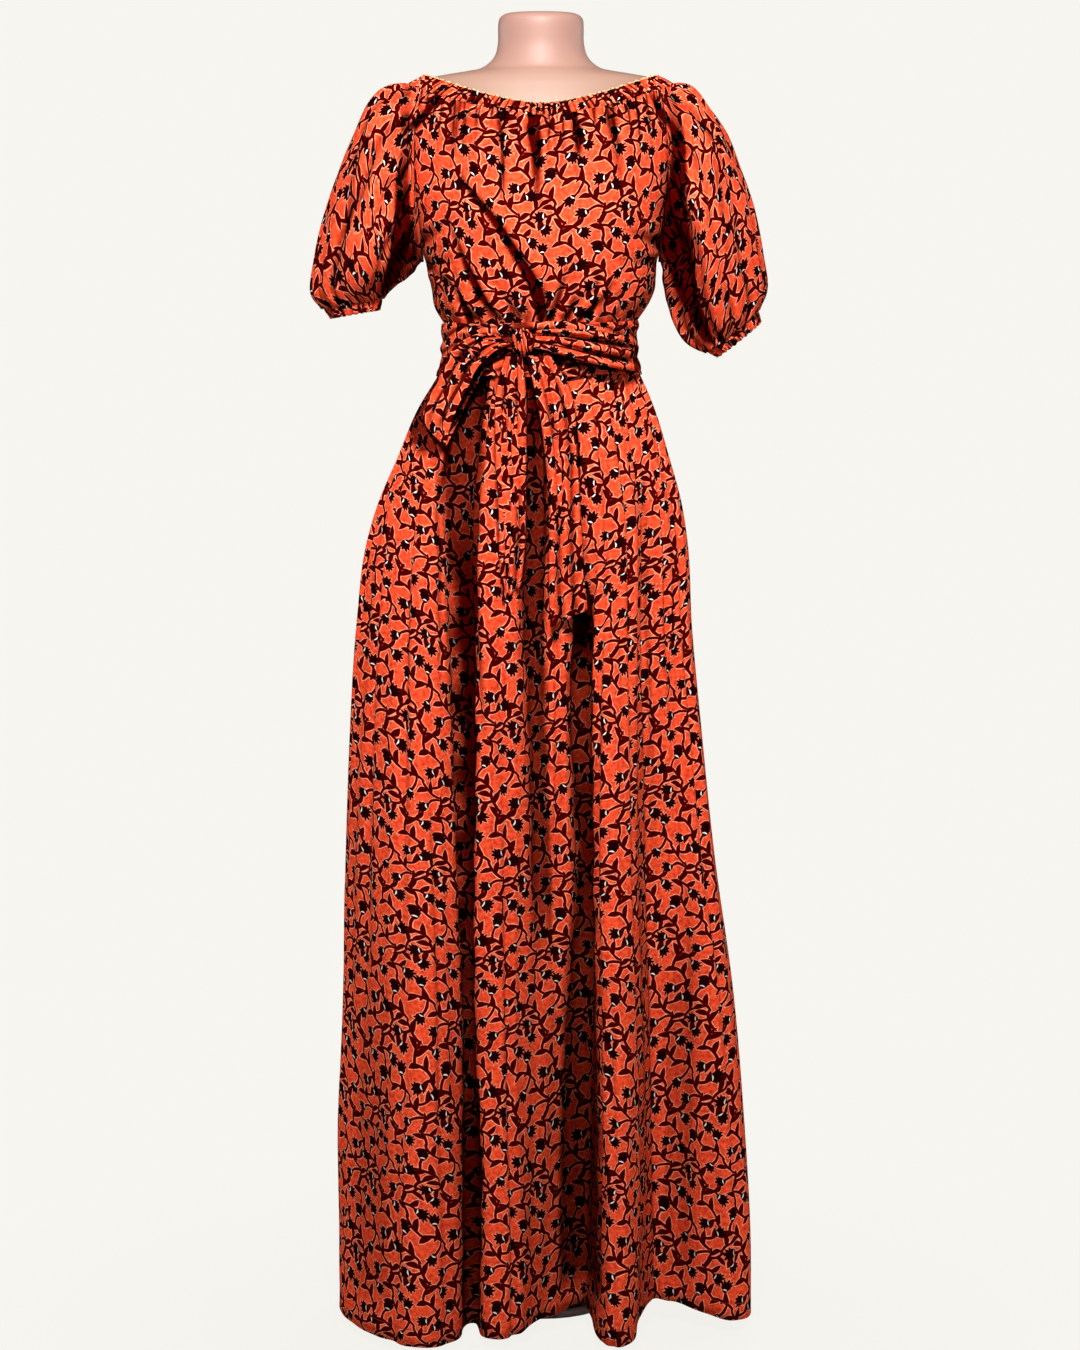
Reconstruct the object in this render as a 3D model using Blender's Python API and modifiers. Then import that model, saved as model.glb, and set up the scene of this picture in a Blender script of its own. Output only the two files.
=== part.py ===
# Wax print maxi dress on a limbless dress form with a round stand. Metres, +Z up, the dress's front towards -Y.
# "right" and "left" in the names are the wearer's: the right side is at -X.
# Every cloth piece is one wall: a grid of points from the tables below, given its thickness by Solidify.
import math

import bmesh
import bpy
import numpy as np

# Cloth and seams
CLOTH_THICKNESS = 0.0014
SEAM_INSET = 0.0003
RAGLAN_LAP = 0.0015
RAGLAN_STAND_OFF = 0.0022
RAGLAN_LAP_FADE = 0.05
BODICE_MEAN_RADIUS = 0.14
SLEEVE_SEAM_SHARE = 0.16
CORNER_GAP = 0.0012
DRESS_Y = -0.045

# Levels of the dress
WAIST_SEAM_Z = 1.165
SEAM_GAP = 0.0006
UNDERARM_Z = 1.262
NECK_SIDE_Z = 1.4665
NECK_FRONT_Z = 1.428
NECK_BACK_Z = 1.442

# Gathers all round each edge, and their height
NECK_GATHERS = 40
CUFF_GATHERS = 14
CUFF_GATHER_HEIGHT = 0.0022
SKIRT_GATHERS_PER_PANEL = 13
SKIRT_GATHER_HEIGHT = 0.0011
SKIRT_GATHER_REACH = 0.10
BODICE_GATHERS_PER_PANEL = 9
BODICE_GATHER_HEIGHT = 0.0016
WAIST_GATHER_REACH = 0.05
NECK_GATHER_REACH = 0.045

# Bodice sections: z, half width at the wearer's right, at their left, depth in front, depth behind
BODICE_SECTIONS = [
    (1.165, 0.1060, 0.1030, 0.0840, 0.0820),
    (1.183, 0.1085, 0.1052, 0.0860, 0.0830),
    (1.196, 0.1165, 0.1140, 0.0935, 0.0875),
    (1.209, 0.1240, 0.1230, 0.1010, 0.0925),
    (1.229, 0.1275, 0.1325, 0.1075, 0.0955),
    (1.252, 0.1325, 0.1340, 0.1120, 0.0965),
    (1.276, 0.1380, 0.1375, 0.1145, 0.0965),
    (1.310, 0.1480, 0.1470, 0.1150, 0.0960),
    (1.350, 0.1570, 0.1560, 0.1120, 0.0940),
    (1.400, 0.1615, 0.1610, 0.1040, 0.0890),
    (1.435, 0.1590, 0.1590, 0.0965, 0.0830),
    (1.468, 0.1530, 0.1530, 0.0900, 0.0780),
]

# Raglan edge of the two bodice panels: z, angle from straight ahead in front, from straight behind at the back
RAGLAN_EDGE = [
    (1.165, 90.0, 90.0),
    (1.240, 90.0, 90.0),
    (1.262, 89.0, 89.0),
    (1.282, 80.0, 79.0),
    (1.310, 73.0, 72.0),
    (1.350, 68.0, 67.0),
    (1.400, 64.5, 63.5),
    (1.470, 62.0, 61.0),
]

# Sleeve sections: share of the way to the cuff, underarm x and z, shoulder x and z, depth in front, depth behind
RIGHT_SLEEVE_SECTIONS = [
    (0.00, 0.1450, 1.2640, 0.1470, 1.4681, 0.0560, 0.0500),
    (0.12, 0.1470, 1.2600, 0.1790, 1.4700, 0.0680, 0.0620),
    (0.25, 0.1500, 1.2560, 0.2020, 1.4480, 0.0820, 0.0750),
    (0.38, 0.1540, 1.2520, 0.2180, 1.4080, 0.0910, 0.0830),
    (0.51, 0.1590, 1.2470, 0.2360, 1.3660, 0.0900, 0.0830),
    (0.64, 0.1640, 1.2420, 0.2520, 1.3160, 0.0860, 0.0800),
    (0.76, 0.1710, 1.2360, 0.2640, 1.2680, 0.0760, 0.0710),
    (0.88, 0.1790, 1.2290, 0.2690, 1.2280, 0.0600, 0.0560),
    (1.00, 0.1860, 1.2190, 0.2560, 1.2070, 0.0430, 0.0410),
]
LEFT_SLEEVE_SECTIONS = [
    (0.00, 0.1450, 1.2640, 0.1470, 1.4681, 0.0560, 0.0500),
    (0.12, 0.1465, 1.2560, 0.1775, 1.4710, 0.0680, 0.0620),
    (0.25, 0.1480, 1.2470, 0.1970, 1.4460, 0.0820, 0.0750),
    (0.38, 0.1495, 1.2370, 0.2150, 1.4120, 0.0910, 0.0830),
    (0.51, 0.1515, 1.2260, 0.2320, 1.3700, 0.0900, 0.0830),
    (0.64, 0.1545, 1.2130, 0.2470, 1.3260, 0.0860, 0.0800),
    (0.76, 0.1600, 1.1980, 0.2590, 1.2740, 0.0760, 0.0710),
    (0.88, 0.1760, 1.1770, 0.2640, 1.2320, 0.0600, 0.0560),
    (1.00, 0.1985, 1.1635, 0.2545, 1.2085, 0.0430, 0.0410),
]

# Cuff rows: distance on from the sleeve's end, growth of the ring, gather height
CUFF_ROWS = [
    (0.0010, -0.0010, 0.0020),
    (0.0070, -0.0042, 0.0015),
    (0.0135, -0.0044, 0.0024),
]

# Neck casing rows: share of the way from the panels' edge to the frill, bulge out, gather height
NECK_ROWS = [
    (0.06, 0.0002, 0.0013),
    (0.55, 0.0016, 0.0016),
    (1.00, 0.0000, 0.0024),
]
NECK_FRILL_HALF_WIDTH = 0.1335
NECK_FRILL_FRONT = 0.0830
NECK_FRILL_BACK = 0.0720
NECK_FRILL_RISE = 0.0105
NECK_FRILL_RISE_FRONT = 0.0140

# Skirt sections: z, half width at the wearer's right, at their left, depth in front, behind, share of hem folds
SKIRT_SECTIONS = [
    (1.165, 0.1060, 0.1030, 0.0840, 0.0820, 0.00),
    (1.148, 0.1105, 0.1065, 0.0860, 0.0850, 0.00),
    (1.130, 0.1200, 0.1155, 0.0910, 0.0920, 0.02),
    (1.100, 0.1380, 0.1290, 0.1050, 0.1080, 0.06),
    (1.030, 0.1690, 0.1510, 0.1230, 0.1280, 0.13),
    (0.983, 0.1890, 0.1640, 0.1310, 0.1350, 0.19),
    (0.935, 0.2030, 0.1720, 0.1370, 0.1400, 0.26),
    (0.840, 0.2150, 0.1780, 0.1460, 0.1480, 0.38),
    (0.700, 0.2250, 0.1915, 0.1560, 0.1590, 0.54),
    (0.550, 0.2310, 0.2070, 0.1660, 0.1710, 0.69),
    (0.400, 0.2335, 0.2275, 0.1740, 0.1820, 0.82),
    (0.250, 0.2405, 0.2415, 0.1820, 0.1920, 0.92),
    (0.110, 0.2405, 0.2500, 0.1870, 0.1980, 0.98),
    (0.012, 0.2420, 0.2510, 0.1900, 0.2020, 1.00),
]

# Hem of the front panel from the wearer's right seam to the left one: u, x, y, height above the floor
FRONT_HEM = [
    (-1.00, -0.2380, 0.0100, 0.014),
    (-0.91, -0.2420, -0.0450, 0.013),
    (-0.82, -0.2230, -0.0980, 0.012),
    (-0.73, -0.1900, -0.1500, 0.012),
    (-0.64, -0.1480, -0.1890, 0.012),
    (-0.55, -0.1100, -0.1790, 0.012),
    (-0.48, -0.0905, -0.1400, 0.014),
    (-0.42, -0.0810, -0.0930, 0.009),
    (-0.36, -0.0700, -0.1400, 0.012),
    (-0.28, -0.0520, -0.1640, 0.013),
    (-0.18, -0.0290, -0.1490, 0.014),
    (-0.06, -0.0040, -0.1130, 0.020),
    (0.06, 0.0240, -0.0850, 0.022),
    (0.12, 0.0390, -0.0760, 0.034),
    (0.18, 0.0520, -0.0740, 0.034),
    (0.25, 0.0600, -0.1150, 0.024),
    (0.31, 0.0665, -0.1620, 0.014),
    (0.38, 0.0860, -0.1890, 0.012),
    (0.45, 0.1070, -0.1680, 0.013),
    (0.52, 0.1165, -0.1150, 0.022),
    (0.58, 0.1270, -0.0740, 0.030),
    (0.67, 0.1560, -0.0640, 0.028),
    (0.77, 0.1960, -0.0860, 0.020),
    (0.86, 0.2290, -0.0990, 0.015),
    (0.94, 0.2510, -0.0600, 0.013),
    (1.00, 0.2500, 0.0050, 0.014),
]

# Hem of the back panel, from the wearer's right seam to the left one
BACK_HEM = [
    (-1.00, -0.2380, 0.0100, 0.014),
    (-0.90, -0.2350, 0.0720, 0.014),
    (-0.80, -0.2080, 0.1180, 0.016),
    (-0.70, -0.1780, 0.1700, 0.013),
    (-0.60, -0.1400, 0.1870, 0.012),
    (-0.52, -0.1150, 0.1560, 0.014),
    (-0.45, -0.0970, 0.1340, 0.017),
    (-0.36, -0.0800, 0.1740, 0.013),
    (-0.26, -0.0500, 0.2010, 0.012),
    (-0.16, -0.0230, 0.1800, 0.013),
    (-0.08, -0.0050, 0.1440, 0.016),
    (0.02, 0.0160, 0.1700, 0.013),
    (0.12, 0.0420, 0.2020, 0.012),
    (0.22, 0.0750, 0.1950, 0.012),
    (0.32, 0.0980, 0.1560, 0.014),
    (0.40, 0.1120, 0.1340, 0.017),
    (0.50, 0.1340, 0.1700, 0.013),
    (0.60, 0.1660, 0.1820, 0.012),
    (0.70, 0.1970, 0.1520, 0.014),
    (0.80, 0.2150, 0.1100, 0.016),
    (0.90, 0.2430, 0.0680, 0.014),
    (1.00, 0.2500, 0.0050, 0.014),
]

# Soft troughs that start under the waist: u, half width in u, depth, z where deepest, z reach
TROUGH_FADE = 0.09
FRONT_TROUGHS = [
    (-0.80, 0.060, 0.0040, 0.90, 0.22),
    (-0.62, 0.055, 0.0060, 0.92, 0.26),
    (-0.42, 0.060, 0.0130, 0.90, 0.34),
    (-0.06, 0.060, 0.0100, 0.86, 0.30),
    (0.18, 0.050, 0.0100, 0.92, 0.30),
    (0.40, 0.050, 0.0035, 0.95, 0.20),
    (0.58, 0.055, 0.0060, 0.88, 0.28),
    (0.80, 0.060, 0.0045, 0.90, 0.22),
]
BACK_TROUGHS = [
    (-0.66, 0.060, 0.0060, 0.90, 0.26),
    (-0.45, 0.055, 0.0090, 0.88, 0.30),
    (-0.08, 0.060, 0.0110, 0.90, 0.30),
    (0.16, 0.050, 0.0040, 0.94, 0.22),
    (0.40, 0.060, 0.0090, 0.88, 0.30),
    (0.74, 0.055, 0.0050, 0.90, 0.24),
]

# Sash rows: z in front, half width at the wearer's right, at their left, depth in front, behind
SASH_ROWS = [
    (1.1915, 0.1178, 0.1150, 0.0950, 0.0895),
    (1.1860, 0.1186, 0.1156, 0.0958, 0.0903),
    (1.1740, 0.1152, 0.1114, 0.0924, 0.0880),
    (1.1620, 0.1176, 0.1140, 0.0946, 0.0905),
    (1.1500, 0.1166, 0.1130, 0.0936, 0.0905),
    (1.1400, 0.1200, 0.1162, 0.0966, 0.0940),
    (1.1300, 0.1241, 0.1195, 0.0980, 0.0960),
]
SASH_TILT = 0.002

# Bow and tails. Loops run over the body: share along the loop, way round in degrees, z, half width, stand-off
RIGHT_LOOP = [
    (0.00, -19.75, 1.1740, 0.0100, 0.0150),
    (0.12, -28.0, 1.1700, 0.0150, 0.0195),
    (0.25, -39.0, 1.1500, 0.0190, 0.0220),
    (0.36, -45.0, 1.1180, 0.0220, 0.0200),
    (0.44, -49.0, 1.0880, 0.0245, 0.0150),
    (0.50, -51.0, 1.0660, 0.0255, 0.0090),
    (0.57, -49.5, 1.0850, 0.0245, 0.0042),
    (0.72, -45.0, 1.1200, 0.0210, 0.0044),
    (0.86, -36.0, 1.1520, 0.0155, 0.0060),
    (1.00, -21.0, 1.1680, 0.0095, 0.0085),
]
LEFT_LOOP = [
    (0.00, -2.9, 1.1740, 0.0100, 0.0150),
    (0.12, 12.0, 1.1710, 0.0150, 0.0195),
    (0.25, 28.0, 1.1640, 0.0180, 0.0200),
    (0.36, 43.0, 1.1590, 0.0190, 0.0170),
    (0.44, 54.0, 1.1560, 0.0190, 0.0130),
    (0.50, 61.0, 1.1545, 0.0185, 0.0085),
    (0.57, 54.0, 1.1560, 0.0175, 0.0042),
    (0.72, 36.0, 1.1595, 0.0155, 0.0044),
    (0.86, 15.0, 1.1650, 0.0125, 0.0056),
    (1.00, 2.0, 1.1680, 0.0085, 0.0070),
]

# Tails hang from the knot: z, right edge x, left edge x, y of their middle
RIGHT_TAIL = [
    (1.1538, -0.0400, -0.0220, -0.1050),
    (1.120, -0.0500, -0.0180, -0.1085),
    (1.060, -0.0520, -0.0170, -0.1157),
    (0.985, -0.0500, -0.0180, -0.1252),
    (0.930, -0.0480, -0.0190, -0.1308),
    (0.884, -0.0440, -0.0230, -0.1340),
]
LEFT_TAIL = [
    (1.1548, -0.0160, 0.0110, -0.1050),
    (1.122, -0.0080, 0.0300, -0.1082),
    (1.060, 0.0030, 0.0420, -0.1150),
    (0.985, 0.0090, 0.0440, -0.1232),
    (0.920, 0.0090, 0.0480, -0.1298),
    (0.856, 0.0110, 0.0530, -0.1358),
]
TAIL_PLEAT = 0.0030
TAIL_SLANT = 0.010
LOOP_PLEAT = 0.0026
LOOP_MEAN_RADIUS = 0.115
KNOT_CENTRE = (-0.0215, -0.1055, 1.1700)
KNOT_HALF = (0.0135, 0.0125, 0.0165)
KNOT_GROOVE = 0.0016
KNOT_END_ANGLE = 0.14

# Dress form rings: z, half width, depth in front, depth behind
FORM_SECTIONS = [
    (1.5490, 0.0300, 0.0270, 0.0330),
    (1.5480, 0.0400, 0.0370, 0.0430),
    (1.5440, 0.0470, 0.0440, 0.0500),
    (1.5360, 0.0498, 0.0468, 0.0528),
    (1.5130, 0.0503, 0.0470, 0.0520),
    (1.4970, 0.0555, 0.0500, 0.0530),
    (1.4860, 0.0690, 0.0540, 0.0545),
    (1.4820, 0.0860, 0.0580, 0.0560),
    (1.4785, 0.1080, 0.0610, 0.0570),
    (1.4740, 0.1290, 0.0640, 0.0590),
    (1.4640, 0.1420, 0.0690, 0.0610),
    (1.4400, 0.1490, 0.0780, 0.0670),
    (1.3900, 0.1480, 0.0910, 0.0780),
    (1.3200, 0.1380, 0.1050, 0.0840),
    (1.2600, 0.1250, 0.0990, 0.0830),
    (1.2100, 0.1080, 0.0860, 0.0790),
    (1.1700, 0.1011, 0.0805, 0.0785),
    (1.1200, 0.1050, 0.0810, 0.0810),
    (1.0500, 0.1290, 0.0930, 0.1010),
    (0.9700, 0.1470, 0.0990, 0.1090),
    (0.8900, 0.1400, 0.0950, 0.1030),
    (0.8300, 0.1250, 0.0880, 0.0950),
]
FORM_BASE_BEVEL = 0.006
POLE_RADIUS = 0.0125
POLE_SOCKET_GAP = 0.0004
BASE_RADIUS = 0.090
BASE_THICKNESS = 0.010
BASE_BEVEL = 0.0025
ROUND_SEGMENTS = 32

# Grid steps: how finely each piece is cut
SKIRT_COLUMNS = {"front": 60, "back": 48}
SKIRT_ROWS = [WAIST_SEAM_Z, 1.148, 1.130, 1.100, 1.050, 0.970, 0.860, 0.700, 0.500, 0.280, 0.0]
BODICE_COLUMNS = {"front": 34, "back": 28}
BODICE_ROWS = [0.0, 0.07, 0.14, 0.22, 0.34, 0.50, 0.68, 0.85, 1.0]
SLEEVE_COLUMNS = 42
SLEEVE_ROWS = [0.0, 0.09, 0.22, 0.40, 0.60, 0.78, 0.91, 1.0]
CUFF_COLUMNS = 56
NECK_COLUMNS = 160
SASH_COLUMNS = 40
LOOP_ROWS = 16
TAIL_ROWS = 7
STRIP_COLUMNS = 6
FORM_COLUMNS = 28

FABRIC = ("wax_print_cotton", (0.78, 0.14, 0.05), 0.0, 0.72)
FORM_SKIN = ("form_plastic", (0.76, 0.50, 0.38), 0.0, 0.35)
STEEL = ("brushed_steel", (0.62, 0.62, 0.64), 1.0, 0.35)


def column(table, index):
    return np.array([row[index] for row in table], float)


def smooth(table, index, at):
    """One column of a table at the given first-column values, along a smooth curve through its rows."""
    keys = column(table, 0)
    values = column(table, index)
    if keys[0] > keys[-1]:
        keys = keys[::-1]
        values = values[::-1]
    slopes = np.gradient(values, keys)
    at = np.clip(at, keys[0], keys[-1])
    low = np.clip(np.searchsorted(keys, at, side="right") - 1, 0, len(keys) - 2)
    span = keys[low + 1] - keys[low]
    t = (at - keys[low]) / span
    return (
        values[low] * (1 + 2 * t) * (1 - t) ** 2
        + slopes[low] * span * t * (1 - t) ** 2
        + values[low + 1] * t * t * (3 - 2 * t)
        + slopes[low + 1] * span * t * t * (t - 1)
    )


def half_widths(table, z, x_sign):
    """The half width on the side that each point is on, easing from one to the other over the middle."""
    to_left = 0.5 + 0.5 * np.clip(x_sign * 3, -1, 1)
    return smooth(table, 1, z) * (1 - to_left) + smooth(table, 2, z) * to_left


def bodice_surface(angle, z, side, ripple):
    """Bodice point at an angle from straight ahead (front) or straight behind (back)."""
    out = 1.0 if side == "back" else -1.0
    width = half_widths(BODICE_SECTIONS, z, np.sin(angle))
    depth = smooth(BODICE_SECTIONS, 4 if side == "back" else 3, z)
    return np.stack([(width + ripple) * np.sin(angle), out * (depth + ripple) * np.cos(angle), z], axis=-1)


def neck_edge_z(angle, side):
    """Height of the gathered neck edge at an angle from the middle of that side."""
    middle = NECK_BACK_Z if side == "back" else NECK_FRONT_Z
    return middle + (NECK_SIDE_Z - middle) * np.sin(np.abs(angle)) ** 1.6


def bodice_panel(side):
    """Front or back bodice: from the waist seam to the neck edge, narrowing along the raglan edges."""
    u, v = np.meshgrid(np.linspace(-1, 1, BODICE_COLUMNS[side] + 1), BODICE_ROWS)
    edge_index = 2 if side == "back" else 1
    top_angle = math.radians(RAGLAN_EDGE[-1][edge_index]) * u
    top_z = neck_edge_z(top_angle, side)
    z = WAIST_SEAM_Z + SEAM_GAP + (top_z - WAIST_SEAM_Z - SEAM_GAP) * v
    edge = np.radians(np.minimum(smooth(RAGLAN_EDGE, edge_index, z), 90))
    angle = u * edge
    near_waist = np.exp(-((z - WAIST_SEAM_Z) / WAIST_GATHER_REACH) ** 2)
    near_neck = np.exp(-((top_z - z) / NECK_GATHER_REACH) ** 2)
    inside = np.cos(np.pi / 2 * u) ** 0.5
    wave = np.cos(2 * np.pi * BODICE_GATHERS_PER_PANEL * (u + 1) / 2)
    ripple = BODICE_GATHER_HEIGHT * wave * inside * (0.5 * near_waist + near_neck)
    return inset_edges(bodice_surface(angle, z, side, ripple))


def inset_edges(points):
    """Draws the two side edges of a panel in, so that it stops just short of its seams."""
    for edge, inner in ((0, 1), (-1, -2)):
        inward = points[:, inner] - points[:, edge]
        points[:, edge] += inward / np.linalg.norm(inward, axis=-1)[:, None] * SEAM_INSET
    return points


def armhole_ring(w):
    """The raglan armhole as a closed ring: underarm, up the front edge, over the shoulder, down the back edge.

    It laps over the bodice's edge, clear of it, and draws back from it towards the neck's corners.
    """
    turns = [0.0, 0.36, 0.5, 0.64, 1.0]
    front_top = math.radians(RAGLAN_EDGE[-1][1])
    back_top = math.radians(RAGLAN_EDGE[-1][2])
    points = np.zeros(w.shape + (3,))
    for index in np.ndindex(w.shape):
        turn = w[index] % 1.0
        side = "front" if turn < 0.5 else "back"
        top = front_top if side == "front" else back_top
        top_z = float(neck_edge_z(np.array(top), side))
        up = min(turn / turns[1], 1.0) if side == "front" else min((1 - turn) / (1 - turns[3]), 1.0)
        z = np.array(UNDERARM_Z + (top_z - UNDERARM_Z) * up)
        angle = np.radians(np.minimum(smooth(RAGLAN_EDGE, 1 if side == "front" else 2, z), 90))
        lapped = min((1 - up) / RAGLAN_LAP_FADE, 1.0)
        if turns[1] < turn <= turns[3]:
            over = abs(turn - 0.5) / (0.5 - turns[1])
            angle = np.array(math.pi / 2 + (top - math.pi / 2) * over)
            z = neck_edge_z(angle, side)
        lap_angle = RAGLAN_LAP * lapped / BODICE_MEAN_RADIUS
        points[index] = bodice_surface(angle - lap_angle, z, side, RAGLAN_STAND_OFF * lapped)
        points[index][0] += CORNER_GAP * (1 - lapped)
    return points


def sleeve_frame(table, share):
    """Middle, half axis and depths of the sleeve's section at each share of its length."""
    inner = np.stack([smooth(table, 1, share), 0 * share, smooth(table, 2, share)], axis=-1)
    outer = np.stack([smooth(table, 3, share), 0 * share, smooth(table, 4, share)], axis=-1)
    return (inner + outer) / 2, (outer - inner) / 2, smooth(table, 5, share), smooth(table, 6, share)


def sleeve_ring(table, w, share, growth):
    """Points of an oval section: w 0 at the underarm, 0.25 in front, 0.5 at the shoulder, 0.75 behind."""
    middle, half, front, back = sleeve_frame(table, share)
    turn = 2 * np.pi * w
    length = np.linalg.norm(half, axis=-1)
    depth = np.where(np.sin(turn) > 0, front, back)
    points = middle - half * ((length + growth) / length * np.cos(turn))[..., None]
    points[..., 1] -= (depth + growth) * np.sin(turn)
    return points


def sleeve(table, mirror):
    """One puff sleeve from the raglan edge to the gathered end."""
    w, share = np.meshgrid(np.arange(SLEEVE_COLUMNS) / SLEEVE_COLUMNS, SLEEVE_ROWS)
    fullness = np.clip((share - 0.45) / 0.55, 0, 1) ** 2
    gather = CUFF_GATHER_HEIGHT * fullness * np.cos(2 * np.pi * CUFF_GATHERS * w)
    puff = sleeve_ring(table, w, share, gather)
    seam = np.clip(1 - share / SLEEVE_SEAM_SHARE, 0, 1) ** 2
    points = puff * (1 - seam[..., None]) + armhole_ring(w) * seam[..., None]
    points[..., 0] *= mirror
    return points


def cuff(table, mirror):
    """Elastic cuff with its small frill, carried on from the sleeve's end."""
    w = np.arange(CUFF_COLUMNS) / CUFF_COLUMNS
    end = np.ones_like(w)
    _, half, _, _ = sleeve_frame(table, end)
    along = np.stack([half[:, 2], 0 * w, -half[:, 0]], axis=-1)
    along /= np.linalg.norm(along, axis=-1)[:, None]
    along *= -np.sign(along[:, 2:3])
    rows = []
    for distance, growth, gather in CUFF_ROWS:
        ring = sleeve_ring(table, w, end, growth + gather * np.cos(2 * np.pi * CUFF_GATHERS * w))
        rows.append(ring + along * distance)
    points = np.array(rows)
    points[..., 0] *= mirror
    return points


def neck_casing():
    """Gathered elastic casing round the neck, from the panels' edge up to its frill."""
    turn = 2 * np.pi * np.arange(NECK_COLUMNS) / NECK_COLUMNS
    rows = []
    for share, bulge, gather in NECK_ROWS:
        grow = bulge + gather * np.cos(NECK_GATHERS * turn)
        row = []
        for angle, ripple in zip(turn, grow):
            side = "front" if math.cos(angle) >= 0 else "back"
            folded = angle if side == "front" else math.pi - angle
            folded = (folded + math.pi) % (2 * math.pi) - math.pi
            edge_z = neck_edge_z(np.array(folded), side)
            low = bodice_surface(np.array(folded), edge_z, side, 0.0)
            out = np.array([math.sin(folded), math.cos(folded) * (-1 if side == "front" else 1), 0.25])
            depth = NECK_FRILL_FRONT if side == "front" else NECK_FRILL_BACK
            rise = NECK_FRILL_RISE + (NECK_FRILL_RISE_FRONT - NECK_FRILL_RISE) * abs(math.cos(folded))
            high = np.array([NECK_FRILL_HALF_WIDTH * out[0], depth * out[1], float(edge_z) + rise])
            row.append(low + (high - low) * share + out * ripple)
        rows.append(row)
    return np.array(rows)


def trough(table, u, z):
    """How far the soft folds under the waist draw the cloth in."""
    drawn = np.zeros_like(u)
    for at, width, depth, middle, reach in table:
        drawn += depth * np.exp(-((u - at) / width) ** 2) * np.exp(-((z - middle) / reach) ** 4)
    return drawn * (1 - np.exp(-((WAIST_SEAM_Z - z) / TROUGH_FADE) ** 2))


def skirt_surface(side, u, z, ripple):
    """Skirt point at u across a panel: an oval at the waist that takes on the hem's folds on the way down."""
    hem = BACK_HEM if side == "back" else FRONT_HEM
    troughs = BACK_TROUGHS if side == "back" else FRONT_TROUGHS
    depth_index = 4 if side == "back" else 3
    out = 1.0 if side == "back" else -1.0
    angle = u * np.pi / 2
    width = half_widths(SKIRT_SECTIONS, z, np.sin(angle))
    depth = smooth(SKIRT_SECTIONS, depth_index, z)
    share = np.clip(smooth(SKIRT_SECTIONS, 5, z), 0, 1)
    grow = ripple - trough(troughs, u, z)
    oval_x = (width + grow) * np.sin(angle)
    oval_y = out * (depth + grow) * np.cos(angle)
    hem_width = half_widths(SKIRT_SECTIONS, np.full_like(z, SKIRT_SECTIONS[-1][0]), np.sin(angle))
    fold_x = smooth(hem, 1, u) * width / hem_width
    fold_y = smooth(hem, 2, u) * depth / SKIRT_SECTIONS[-1][depth_index]
    x = oval_x * (1 - share) + fold_x * share
    y = oval_y * (1 - share) + fold_y * share
    return np.stack([x, y, z], axis=-1)


def skirt_panel(side):
    """Front or back skirt panel from the waist seam to the hem."""
    u, z = np.meshgrid(np.linspace(-1, 1, SKIRT_COLUMNS[side] + 1), SKIRT_ROWS)
    hem_z = smooth(BACK_HEM if side == "back" else FRONT_HEM, 3, u)
    z = hem_z + z * (SKIRT_ROWS[0] - hem_z) / SKIRT_ROWS[0]
    gathered = np.exp(-((SKIRT_ROWS[0] - z) / SKIRT_GATHER_REACH) ** 2) * np.cos(np.pi / 2 * u) ** 0.5
    wave = np.cos(2 * np.pi * SKIRT_GATHERS_PER_PANEL * (u + 1) / 2)
    return inset_edges(skirt_surface(side, u, z, SKIRT_GATHER_HEIGHT * gathered * wave))


def sash_surface(angle, z, stand_off):
    """A point off the sash and skirt, at an angle from straight ahead; the bow's loops lie over them by it."""
    side_z = np.clip(z, SKIRT_SECTIONS[-1][0], SKIRT_SECTIONS[0][0])
    skirt_width = half_widths(SKIRT_SECTIONS, side_z, np.sin(angle))
    sash_width = half_widths(SASH_ROWS, z, np.sin(angle))
    width = np.maximum(skirt_width, sash_width) + stand_off
    depth = np.maximum(smooth(SKIRT_SECTIONS, 3, side_z), smooth(SASH_ROWS, 3, z)) + stand_off
    return np.stack([width * np.sin(angle), -depth * np.cos(angle), z], axis=-1)


def sash_wrap():
    """The sash's turn round the waist with its lengthwise pleats."""
    turn = 2 * np.pi * np.arange(SASH_COLUMNS) / SASH_COLUMNS
    points = []
    for z, right, left, front, back in SASH_ROWS:
        width = np.where(np.sin(turn) > 0, left, right)
        depth = np.where(np.cos(turn) > 0, front, back)
        height = z + SASH_TILT * np.sin(turn + 0.6)
        points.append(np.stack([width * np.sin(turn), -depth * np.cos(turn), height], axis=-1))
    return np.array(points)


def bow_loop(table):
    """A loop of the sash: out over the body, round its end and back beneath itself."""
    across, share = np.meshgrid(np.linspace(-1, 1, STRIP_COLUMNS + 1), np.linspace(0, 1, LOOP_ROWS + 1))
    way = np.radians(smooth(table, 1, share))
    z = smooth(table, 2, share)
    half = smooth(table, 3, share)
    end_way = math.radians(table[4][1] - table[0][1]) * LOOP_MEAN_RADIUS
    end_z = table[4][2] - table[0][2]
    length = math.hypot(end_way, end_z)
    pleat = LOOP_PLEAT * np.cos(2.5 * np.pi * across) * np.clip(half / 0.02, 0, 1)
    lie = np.where(share < 0.5, 1.0, 0.0)
    return sash_surface(
        way - across * half * end_z / length / LOOP_MEAN_RADIUS,
        z + across * half * end_way / length,
        smooth(table, 4, share) + pleat * lie * np.clip((0.5 - share) / 0.12, 0, 1),
    )


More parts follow.
